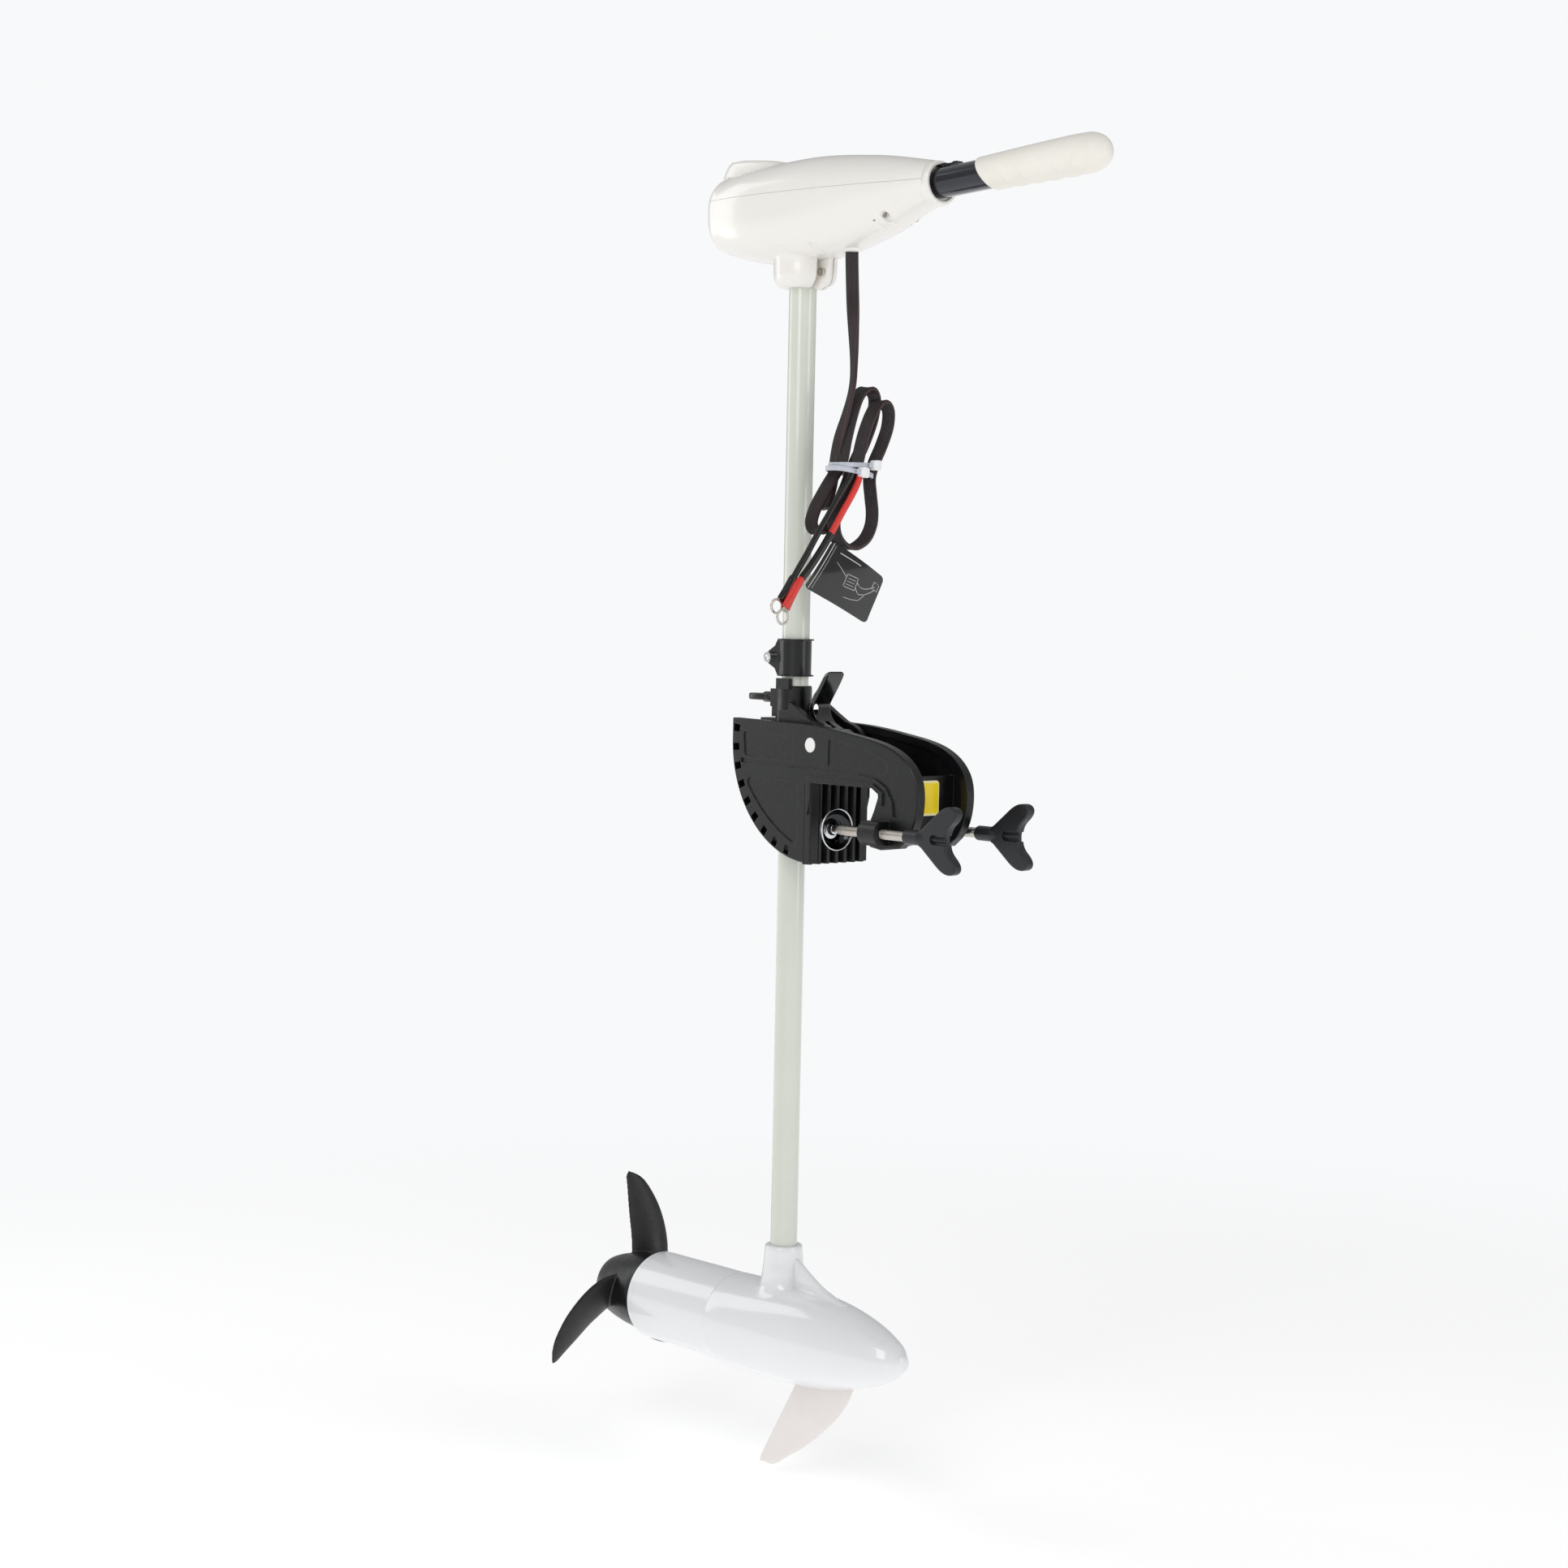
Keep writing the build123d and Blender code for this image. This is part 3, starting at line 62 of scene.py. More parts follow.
def add_node(tree, kind, inputs=(), **settings):
    """shader node whose inputs are given as sockets to link or as plain values"""
    node = tree.nodes.new("ShaderNode" + kind)
    for key, value in settings.items():
        setattr(node, key, value)
    for key, value in dict(inputs).items():
        if isinstance(value, bpy.types.NodeSocket):
            tree.links.new(value, node.inputs[key])
        else:
            node.inputs[key].default_value = value
    return node


def material(name, colour, rough, metallic=0.0, coat=0.0, coat_rough=0.06, mottle=0.10,
             mottle_scale=22.0, rough_var=0.10, grain=0.0, grain_scale=1100.0, micro=0.0,
             bevel=0.6, wear_and_highlight=0.0, wear_and_highlight_colour="#8a8a88", sss=0.0, specular=0.5, brushed=None,
             patches=None, scratch=0.0):
    """Mottled surface with optional patches, edges lightened partly as wear and partly as a
    painted highlight, scratches and fine bumps.

    bevel is the radius of shaded edges in mm, grain and micro are bump strengths, brushed is
    the noise scale per axis, and patches is (colour, noise scale, threshold, amount).
    """
    made = bpy.data.materials.new(name)
    made.use_nodes = True
    tree = made.node_tree
    tree.nodes.clear()
    coords = add_node(tree, "TexCoord").outputs["Object"]

    def noise(scale, detail, roughness=0.55, vector=coords):
        return add_node(tree, "TexNoise", {"Scale": scale, "Detail": detail, "Vector": vector,
                                           "Roughness": roughness}).outputs["Fac"]

    def remap(source, from_min, from_max, to_min, to_max):
        return add_node(tree, "MapRange", {0: source, 1: from_min, 2: from_max,
                                           3: to_min, 4: to_max}).outputs[0]

    def mix(factor, first, second):
        return add_node(tree, "Mix", {0: factor, 6: first, 7: second},
                        data_type="RGBA").outputs[2]

    def calc(operation, first, second):
        return add_node(tree, "Math", {0: first, 1: second}, operation=operation).outputs[0]

    def bump(height, strength, distance, normal):
        inputs = {"Height": height, "Strength": strength, "Distance": distance}
        if normal is not None:
            inputs["Normal"] = normal
        return add_node(tree, "Bump", inputs).outputs[0]

    base = linear(colour)
    dark = [v * (1 - mottle) for v in base[:3]] + [1]
    light = [min(1, v * (1 + mottle * 0.6) + 0.002) for v in base[:3]] + [1]
    tint = mix(remap(noise(mottle_scale, 4), 0.3, 0.7, 0, 1), dark, light)
    if patches:
        patch_colour, scale, threshold, amount = patches
        spread = remap(noise(scale, 5, 0.65), threshold, threshold + 0.12, 0, amount)
        tint = mix(spread, tint, linear(patch_colour))
    roughness = remap(noise(mottle_scale * 2.7, 4), 0.3, 0.7,
                      max(0.02, rough - rough_var * 0.5), rough + rough_var * 0.5)
    normal = None
    if bevel > 0:
        normal = add_node(tree, "Bevel", {"Radius": bevel / 1000}, samples=6).outputs[0]
        if wear_and_highlight > 0:
            # the rounded normal leaves the true one near edges; there the colour is lightened,
            # partly as wear and partly as a painted edge highlight
            true_normal = add_node(tree, "NewGeometry").outputs["Normal"]
            dot = add_node(tree, "VectorMath", {0: normal, 1: true_normal},
                           operation="DOT_PRODUCT").outputs["Value"]
            edge = remap(calc("SUBTRACT", 1.0, dot), 0.01, 0.14, 0, 1)
            edge = calc("MULTIPLY", edge, remap(noise(160.0, 5, 0.7), 0.42, 0.66, 0, wear_and_highlight))
            tint = mix(edge, tint, linear(wear_and_highlight_colour))
            roughness = calc("ADD", roughness, calc("MULTIPLY", edge, 0.12))
    if scratch > 0:
        stretched = add_node(tree, "Mapping", {"Vector": coords, "Scale": (900, 900, 40),
                                               "Rotation": (0.3, 0.5, 0.2)}).outputs[0]
        lines = remap(noise(1.0, 2, 0.5, stretched), 0.66, 0.72, 0, scratch)
        roughness = calc("ADD", roughness, lines)
    for strength, scale, detail in ((grain, grain_scale, 4), (micro, 5200.0, 2)):
        if strength > 0:
            normal = bump(noise(scale, detail), strength, 0.0002, normal)
    if brushed:
        stretched = add_node(tree, "Mapping", {"Vector": coords, "Scale": brushed}).outputs[0]
        normal = bump(noise(1.0, 3, 0.6, stretched), 0.25, 0.0001, normal)
    inputs = {"Base Color": tint, "Roughness": roughness, "Metallic": metallic,
              "Specular IOR Level": specular, "Coat Weight": coat, "Coat Roughness": coat_rough}
    if sss > 0:
        inputs.update({"Subsurface Weight": sss, "Subsurface Scale": 1.0,
                       "Subsurface Radius": (0.004, 0.004, 0.004)})
    if normal is not None:
        inputs["Normal"] = normal
    surface = add_node(tree, "BsdfPrincipled", inputs)
    add_node(tree, "OutputMaterial", {0: surface.outputs[0]})
    made.diffuse_color = base
    return made


LOOKS = {
    "bracket_black": dict(
        colour="#0c0d0f", rough=0.30, grain=0.22, grain_scale=1500, micro=0.25, mottle=0.22,
        rough_var=0.16, bevel=1.0, wear_and_highlight=0.35, wear_and_highlight_colour="#6e7072", specular=0.42,
        scratch=0.10, patches=("#1d1f23", 55, 0.56, 0.35)),
    "pin_white": dict(colour="#f4f4f1", rough=0.35, mottle=0.04, grain=0.1),
    "insert_brass": dict(colour="#b08d4a", rough=0.30, metallic=1.0, brushed=(60, 3000, 3000)),
    "label_yellow": dict(
        colour="#ffdc12", rough=0.34, coat=0.35, bevel=0.2, grain=0.12, grain_scale=700),
    "label_border": dict(colour="#f4ecb2", rough=0.34, coat=0.35, mottle=0.05, bevel=0.2),
    "chrome": dict(
        colour="#dfe0e2", rough=0.10, metallic=1.0, mottle=0.04, rough_var=0.06, bevel=0.5,
        grain=0.05, patches=("#8f8f8e", 90, 0.62, 0.35)),
    # darkened chrome for the inside of the pad cups: a painted dark reflection of the black
    # bracket
    "chrome_dark": dict(
        colour="#3c3d40", rough=0.12, metallic=1.0, rough_var=0.06, bevel=0.4, grain=0.05,
        patches=("#77787a", 60, 0.60, 0.45)),
    "screw_steel": dict(
        colour="#cbc6bd", rough=0.22, metallic=1.0, mottle=0.12, rough_var=0.14, bevel=0.3,
        patches=("#7c746a", 140, 0.60, 0.35), brushed=(900, 60, 60)),
    "handle_black": dict(
        colour="#191b20", rough=0.34, grain=0.22, grain_scale=1700, micro=0.2, mottle=0.16,
        rough_var=0.12, bevel=0.5, wear_and_highlight=0.3, wear_and_highlight_colour="#73767b", scratch=0.08),
    "lever_gloss": dict(
        colour="#0b0c0d", rough=0.14, coat=0.5, coat_rough=0.08, mottle=0.15, bevel=0.5,
        wear_and_highlight=0.15, grain=0.06, rough_var=0.08, scratch=0.10),
    "collar_black": dict(
        colour="#0c0d0e", rough=0.26, grain=0.16, grain_scale=1500, mottle=0.18, bevel=0.8,
        wear_and_highlight=0.3, wear_and_highlight_colour="#6a6c6e", rough_var=0.12, scratch=0.08),
    "fibreglass": dict(
        colour="#dcdfd4", rough=0.20, coat=0.6, coat_rough=0.05, mottle=0.035, mottle_scale=9,
        rough_var=0.06, bevel=0.0, grain=0.05, grain_scale=2200, brushed=(900, 900, 12),
        sss=0.06),
    "white_paint": dict(
        colour="#f1f2f4", rough=0.17, coat=0.7, coat_rough=0.04, mottle=0.018, mottle_scale=12,
        rough_var=0.05, bevel=0.8, grain=0.05, grain_scale=420,
        patches=("#e3e4e6", 300, 0.70, 0.5)),
    "white_plastic": dict(
        colour="#f3f0ea", rough=0.24, coat=0.45, coat_rough=0.08, mottle=0.02, mottle_scale=10,
        rough_var=0.07, bevel=0.8, grain=0.06, grain_scale=600, sss=0.05,
        patches=("#e9e5dc", 40, 0.62, 0.35)),
    "skeg_white": dict(
        colour="#efe9e6", rough=0.36, mottle=0.025, bevel=0.8, grain=0.12, grain_scale=900,
        sss=0.10, patches=("#ebe0db", 30, 0.55, 0.4)),
    "prop_black": dict(
        colour="#0f110f", rough=0.32, grain=0.22, grain_scale=1600, micro=0.15, mottle=0.16,
        rough_var=0.16, bevel=0.4, wear_and_highlight=0.25, wear_and_highlight_colour="#6c6f6b", scratch=0.12,
        patches=("#1e211e", 26, 0.5, 0.5)),
    "motor_steel": dict(colour="#9c9fa2", rough=0.30, metallic=1.0, brushed=(40, 2200, 2200)),
    "magnet_grey": dict(colour="#4a4b4d", rough=0.55, grain=0.4),
    "copper": dict(
        colour="#b46a3c", rough=0.30, metallic=1.0, brushed=(2600, 300, 300), mottle=0.2),
    "core_steel": dict(colour="#6f7275", rough=0.45, metallic=0.9, brushed=(3000, 40, 40)),
    "carbon": dict(colour="#2b2b2b", rough=0.55, grain=0.3),
    "rubber_black": dict(colour="#161616", rough=0.6, grain=0.3),
    "bush_white": dict(colour="#ecebe6", rough=0.4, mottle=0.05, grain=0.1),
    "board_green": dict(colour="#2f6b45", rough=0.45, grain=0.15, mottle=0.15),
    "lens_dark": dict(colour="#24272b", rough=0.12, coat=0.6),
    "tube_anodised": dict(
        colour="#2a2c35", rough=0.20, metallic=0.85, coat=0.8, mottle=0.2, bevel=0.4,
        brushed=(30, 1500, 1500), rough_var=0.08, scratch=0.06,
        patches=("#23252e", 60, 0.6, 0.4)),
    "grip_white": dict(
        colour="#efece3", rough=0.42, mottle=0.025, grain=0.14, grain_scale=1400, sss=0.16,
        patches=("#ebe6d8", 35, 0.58, 0.45)),
    "cable_black": dict(
        colour="#1a1617", rough=0.44, grain=0.25, grain_scale=1400, mottle=0.25,
        rough_var=0.18, bevel=0.0, patches=("#332c2c", 180, 0.55, 0.4)),
    "cable_red": dict(colour="#4a1e22", rough=0.48, mottle=0.35, bevel=0.0, grain=0.2),
    "tie_grey": dict(colour="#c3c7d1", rough=0.32, mottle=0.06, bevel=0.3, sss=0.10, grain=0.1),
    "tie_head": dict(
        colour="#f2f3f5", rough=0.30, mottle=0.03, bevel=0.4, sss=0.10, grain=0.08),
    "lead_red": dict(
        colour="#d9362e", rough=0.36, mottle=0.14, bevel=0.0, grain=0.15, grain_scale=900,
        rough_var=0.14),
    "lead_black": dict(
        colour="#141313", rough=0.26, mottle=0.2, bevel=0.0, grain=0.15, grain_scale=900,
        rough_var=0.14),
    "tag_black": dict(
        colour="#0c0d0c", rough=0.12, coat=0.5, coat_rough=0.04, mottle=0.2, mottle_scale=14,
        bevel=0.2, grain=0.10, grain_scale=90, rough_var=0.06),
    "tag_ink": dict(colour="#cfd2cd", rough=0.4, bevel=0.0),
}
MATERIALS = {name: material(name, **look) for name, look in LOOKS.items()}


def set_only_material(obj, name):
    obj.data.materials.clear()
    obj.data.materials.append(MATERIALS[name])


def paint_cad_nodes():
    slot_of = {part["node"]: part["material_slot"] for part in frame["record"]["subparts"]}
    for name, obj in NODES.items():
        slot = slot_of.get(name)
        set_only_material(obj, slot if slot in MATERIALS else "bracket_black")


# ------------------------------------------------------------------ objects and meshes
# A "shape" below is a pair: points in scene metres, and faces.
def link_object(name, data):
    obj = bpy.data.objects.new(name, data)
    bpy.context.scene.collection.objects.link(obj)
    return obj


def make_mesh(name, shape):
    mesh = bpy.data.meshes.new(name)
    mesh.from_pydata([tuple(point) for point in shape[0]], [], shape[1])
    mesh.validate()
    return mesh


def face_outward(mesh):
    bm = bmesh.new()
    bm.from_mesh(mesh)
    bmesh.ops.recalc_face_normals(bm, faces=bm.faces)
    bm.to_mesh(mesh)
    bm.free()


def shade(mesh, split_deg, reset=False):
    """smooth shading with steep edges sharp; reset clears old marks and marks open edges too"""
    mesh.polygons.foreach_set("use_smooth", [True] * len(mesh.polygons))
    bm = bmesh.new()
    bm.from_mesh(mesh)
    limit = math.radians(split_deg)
    for edge in bm.edges:
        sharp = edge.calc_face_angle(0) > limit if len(edge.link_faces) == 2 else reset
        if sharp or reset:
            edge.smooth = not sharp
    bm.to_mesh(mesh)
    bm.free()


def register(obj, replaces, body, split_deg):
    shade(obj.data, split_deg)
    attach(obj, body)
    if replaces:
        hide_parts(replaces)


def add_piece(name, shape, slot, replaces=None, body="motor", split_deg=40.0, looks=None,
              face_looks=None):
    """object from a shape; looks lists its materials and face_looks picks one per face"""
    mesh = make_mesh(name, shape)
    obj = link_object(name, mesh)
    for look in looks or [slot]:
        mesh.materials.append(MATERIALS[look])
    if face_looks is not None:
        mesh.polygons.foreach_set("material_index", face_looks)
    face_outward(mesh)
    register(obj, replaces, body, split_deg)


def evaluated(obj):
    """new mesh of an object with its modifiers applied"""
    graph = bpy.context.evaluated_depsgraph_get()
    return bpy.data.meshes.new_from_object(obj.evaluated_get(graph))


def discard(obj):
    mesh = obj.data
    bpy.data.objects.remove(obj)
    bpy.data.meshes.remove(mesh)


def take_shape(obj):
    """shape of a temporary object with its modifiers applied; the object is removed"""
    mesh = evaluated(obj)
    shape = [v.co.copy() for v in mesh.vertices], [tuple(p.vertices) for p in mesh.polygons]
    discard(obj)
    bpy.data.meshes.remove(mesh)
    return shape


# ------------------------------------------------------------------ curves
def cubic(xs, ys):
    """natural cubic spline as a function"""
    xs, ys = np.array(xs, float), np.array(ys, float)
    count = len(xs)
    h = np.diff(xs)
    system = np.zeros((count, count))
    target = np.zeros(count)
    system[0, 0] = system[-1, -1] = 1
    for i in range(1, count - 1):
        system[i, i - 1:i + 2] = h[i - 1], 2 * (h[i - 1] + h[i]), h[i]
        target[i] = 6 * ((ys[i + 1] - ys[i]) / h[i] - (ys[i] - ys[i - 1]) / h[i - 1])
    bend = np.linalg.solve(system, target)

    def value(x):
        i = int(np.clip(np.searchsorted(xs, x) - 1, 0, count - 2))
        done, left = x - xs[i], xs[i + 1] - x
        return float((bend[i] * left ** 3 + bend[i + 1] * done ** 3) / (6 * h[i])
                     + (ys[i] / h[i] - bend[i] * h[i] / 6) * left
                     + (ys[i + 1] / h[i] - bend[i + 1] * h[i] / 6) * done)
    return value


def splines(stations):
    """one spline over the first column for each further column of a table"""
    first, *others = zip(*stations)
    return [cubic(first, column) for column in others]


def resample(points, step, closed=False):
    """Catmull-Rom path through the points, about step apart in the points' own unit"""
    points = [Vector(p) for p in points]
    n = len(points)
    path = []
    for i in range(n if closed else n - 1):
        p0 = points[(i - 1) % n] if closed or i > 0 else points[0] * 2 - points[1]
        p1, p2 = points[i % n], points[(i + 1) % n]
        p3 = points[(i + 2) % n] if closed or i + 2 < n else points[-1] * 2 - points[-2]
        pieces = max(2, int((p2 - p1).length / step))
        for j in range(pieces):
            t = j / pieces
            path.append(0.5 * ((2 * p1) + (p2 - p0) * t
                               + (2 * p0 - 5 * p1 + 4 * p2 - p3) * t * t
                               + (3 * p1 - p0 - 3 * p2 + p3) * t ** 3))
    if not closed:
        path.append(points[-1])
    return path


def smooth_outline(points, step, closed=True):
    path = resample([Vector((x, y, 0)) for x, y in points], step, closed)
    return [(p.x, p.y) for p in path]


def angles(count):
    return [TAU * j / count for j in range(count)]


def circle(radius, count):
    return [(radius * math.cos(a), radius * math.sin(a)) for a in angles(count)]


def squared(value, power):
    """sine or cosine reshaped so that a circle becomes a superellipse"""
    return math.copysign(abs(value) ** (2 / power), value)


def dome(share, power):
    """falls from 1 to 0 along a superelliptic quarter as share goes from 0 to 1"""
    return max(0.0, 1 - share ** power) ** (1 / power)


def smoothstep(t):
    return t * t * (3 - 2 * t)


def foil(phase, thick, power):
    """share of the chord and signed half thickness of a fin section at a phase"""
    half = 0.5 * thick * abs(math.sin(phase)) ** power
    return 0.5 - 0.5 * math.cos(phase), half if phase < math.pi else -half


# ------------------------------------------------------------------ shapes
def skin(rings, caps=("first", "last"), looped=False):
    """quads between rings of equal count; looped joins the last ring to the first"""
    rows, count = len(rings), len(rings[0])
    faces = []
    for i in range(rows if looped else rows - 1):
        low, high = i * count, (i + 1) % rows * count
        for j in range(count):
            k = (j + 1) % count
            faces.append((low + j, low + k, high + k, high + j))
    cap_faces = {"first": tuple(range(count))[::-1],
                 "last": tuple(range((rows - 1) * count, rows * count))}
    faces += [cap_faces[cap] for cap in caps]
    return [point for ring in rings for point in ring], faces


def x_ring(x, radius, count, y=0, z=0):
    """ring about a line along X; the radius is a number or a function of the angle"""
    ring = []
    for a in angles(count):
        r = radius(a) if callable(radius) else radius
        ring.append(at(x, y + r * math.cos(a), z + r * math.sin(a)))
    return ring


def sweep(path, profile, wide, closed=False, scale=None):
    """mm profile carried along a path in metres; its first axis lies toward wide"""
    n = len(path)
    rings = []
    for i, point in enumerate(path):
        if closed:
            before, after = path[i - 1], path[(i + 1) % n]
        else:
            before, after = path[max(i - 1, 0)], path[min(i + 1, n - 1)]
        share = i / (n - 1)
        along = (after - before).normalized()
        across = Vector(wide(share) if callable(wide) else wide)
        across = (across - along * across.dot(along)).normalized()
        other = along.cross(across)
        grow_x, grow_y = scale(share) if scale else (1.0, 1.0)
        rings.append([point + across * (x / 1000) * grow_x + other * (y / 1000) * grow_y
                      for x, y in profile])
    return skin(rings, () if closed else ("first", "last"), looped=closed)


def axis_frame(axis):
    """unit axis and two unit directions across it"""
    axis = Vector(axis).normalized()
    guide = Vector(Z_AXIS if abs(axis.z) < 0.9 else X_AXIS)
    first = (guide - axis * guide.dot(axis)).normalized()
    return axis, first, axis.cross(first)


def lathe(origin, axis, profile, count):
    """surface of revolution from (mm along the axis, mm radius)"""
    axis, first, second = axis_frame(axis)
    rings = []
    for along, radius in profile:
        centre, reach = Vector(origin) + axis * (along / 1000), max(radius / 1000, 1e-7)
        rings.append([centre + (first * math.cos(a) + second * math.sin(a)) * reach
                      for a in angles(count)])
    return skin(rings, caps=())


def join(shapes):
    points, faces = [], []
    for more_points, more_faces in shapes:
        offset = len(points)
        points += list(more_points)
        faces += [tuple(i + offset for i in face) for face in more_faces]
    return points, faces


def plate(outline, thick, bevel, place, holes=(), resolution=4):
    """plate with rounded edges from mm outlines, by a filled and bevelled curve"""
    thick, bevel = thick / 1000, bevel / 1000
    curve = bpy.data.curves.new("tmp_plate", "CURVE")
    curve.dimensions = "2D"
    curve.fill_mode = "BOTH"
    curve.extrude = max(0.0, thick / 2 - bevel)
    curve.bevel_depth = bevel
    curve.bevel_resolution = resolution
    curve.offset = -bevel
    for points in [outline, *holes]:
        spline = curve.splines.new("POLY")
        spline.points.add(len(points) - 1)
        for target, (x, y) in zip(spline.points, points):
            target.co = (x / 1000, y / 1000, 0, 1)
        spline.use_cyclic_u = True
    obj = link_object("tmp_plate", curve)
    mesh = evaluated(obj)
    bm = bmesh.new()
    bm.from_mesh(mesh)
    bmesh.ops.remove_doubles(bm, verts=bm.verts, dist=1e-6)
    bmesh.ops.recalc_face_normals(bm, faces=bm.faces)
    shape = [place @ v.co for v in bm.verts], [tuple(v.index for v in f.verts) for f in bm.faces]
    bm.free()
    bpy.data.objects.remove(obj)
    bpy.data.curves.remove(curve)
    bpy.data.meshes.remove(mesh)
    return shape


def upright(y):
    """places a plate in the XZ plane, y mm to the side, measured from both axes"""
    return Matrix(((1, 0, 0, SHAFT_X), (0, 0, -1, y / 1000), (0, 1, 0, PROP_Z), (0, 0, 0, 1)))


def flat(x, y, z):
    """places a plate level, centred on a point"""
    return Matrix.Translation(at(x, y, z))


def facing_x(x, y, z):
    """places a plate facing +X: its own x runs along Y and its own y along Z"""
    return flat(x, y, z) @ Matrix(((0, 0, 1, 0), (1, 0, 0, 0), (0, 1, 0, 0), (0, 0, 0, 1)))


def fuse(shape, voxel, passes=4):
    """one skin around overlapping closed pieces, with softened inner corners; voxel in mm"""
    obj = link_object("tmp_vox", make_mesh("tmp_vox", shape))
    remesh = obj.modifiers.new("r", "REMESH")
    remesh.mode = "VOXEL"
    remesh.voxel_size = voxel / 1000
    soften = obj.modifiers.new("s", "SMOOTH")
    soften.factor = 0.5
    soften.iterations = passes
    return take_shape(obj)


def carve(shape, cutters):
    """closed shape less closed cutters"""
    obj = link_object("tmp_carve", make_mesh("tmp_carve", shape))
    tools = []
    for i, cutter in enumerate(cutters):
        mesh = make_mesh("tmp_cut%d" % i, cutter)
        face_outward(mesh)
        tool = link_object("tmp_cut%d" % i, mesh)
        cut = obj.modifiers.new("cut%d" % i, "BOOLEAN")
        cut.operation = "DIFFERENCE"
        cut.solver = "EXACT"
        cut.object = tool
        tools.append(tool)
    result = take_shape(obj)
    for tool in tools:
        discard(tool)
    return result


def box(xs, ys, zs):
    """box between pairs of limits"""
    points = [at(x, y, z) for x in xs for y in ys for z in zs]
    return points, [(0, 1, 3, 2), (4, 6, 7, 5), (0, 4, 5, 1), (2, 3, 7, 6), (0, 2, 6, 4),
                    (1, 5, 7, 3)]


def prism(points):
    """closed prism; the first half of the points is one end and the second half the other"""
    n = len(points) // 2
    sides = [(j, (j + 1) % n, n + (j + 1) % n, n + j) for j in range(n)]
    return points, [tuple(range(n))[::-1], tuple(range(n, 2 * n))] + sides


def rod(centre, axis, radius, length, rise=None, count=40):
    """rod centred on a point; rise is the half height of an oval one"""
    axis, first, second = axis_frame(axis)
    return prism([at(*centre) + axis * (end * length / 1000)
                  + first * ((rise or radius) / 1000 * math.cos(a))
                  + second * (radius / 1000 * math.sin(a))
                  for end in (-0.5, 0.5) for a in angles(count)])


# ------------------------------------------------------------------ control head
# x, lowest z, highest z, half width
HEAD_STATIONS = (
    (-86, 1034, 1110, 41), (-55, 1026, 1114.5, 45.5), (-10, 1023.5, 1117, 45.5),
    (35, 1025, 1118.5, 43), (80, 1032, 1116, 38), (122, 1042.5, 1111.5, 30.8),
    (158, 1056, 1105.5, 23.6), (178, 1062.5, 1102.0, 20.9))
head_low, head_high, head_half_width = splines(HEAD_STATIONS)
HEAD_DOME_X = HEAD_STATIONS[0][0]    # the rounded -X end starts here
HEAD_DOME_LENGTH = 22.0
HEAD_DOME_Z = 1070.0                 # height of its tip
HEAD_END_X = HEAD_STATIONS[-1][0]
SEAM_Z = 1084.0
SEAM_HALF_GAP = 0.08
HEAD_WALL = 2.6
DIMPLES = ((131.0, 1054.0, 2.9), (42.5, 1032.0, 2.4))    # x, z, depth


def hull(x, angle):
    """point on the head's outer surface at an angle in its cross-section"""
    beyond = max(0.0, HEAD_DOME_X - x)
    share = beyond / HEAD_DOME_LENGTH
    station = max(x, HEAD_DOME_X)
    # the slope keeps going into the rounded end
    low = head_low(station) + beyond * 0.12
    half_width = head_half_width(station) - beyond * 0.02
    height = head_high(station) - low
    taper = min(1.0, max(0.0, x / 120.0))
    power = 2.9 - 0.85 * taper if math.sin(angle) < 0 else 2.45 - 0.35 * taper
    cos_a, sin_a = math.cos(angle), math.sin(angle)
    y = half_width * squared(cos_a, power)
    reach = 0.45 * height if sin_a > 0 else 0.55 * height
    z = low + 0.55 * height + reach * squared(sin_a, power)
    if beyond:
        y *= dome(share, 2.3)
        z = HEAD_DOME_Z + (z - HEAD_DOME_Z) * dome(share, 1.8 if z > HEAD_DOME_Z else 2.5)
    # two low louvres that sweep back across the belly
    swing = (math.degrees(angle) % 360 - 270) / 58
    if abs(swing) < 1 and 100 < x < 142:
        louvre = (x + 10.0 * abs(swing) ** 1.5 - 112.0) / 11.5
        if 0 < louvre < 2:
            ramp = louvre % 1.0
            lift = 1.05 * (ramp if ramp < 0.86 else 0.86 * (1 - ramp) / 0.14)
            lift *= min(1.0, 6 * (1 - abs(swing)))
            y += math.copysign(lift * abs(cos_a), y)
            z -= lift * abs(sin_a)
    for dimple_x, dimple_z, depth in DIMPLES:
        distance = math.hypot((x - dimple_x) / 3.5, (z - dimple_z) / 4.3)
        if distance < 1.25:
            y -= math.copysign(depth * smoothstep(min(1.0, (1.25 - distance) / 0.5)), y)
    return at(x, y, z)


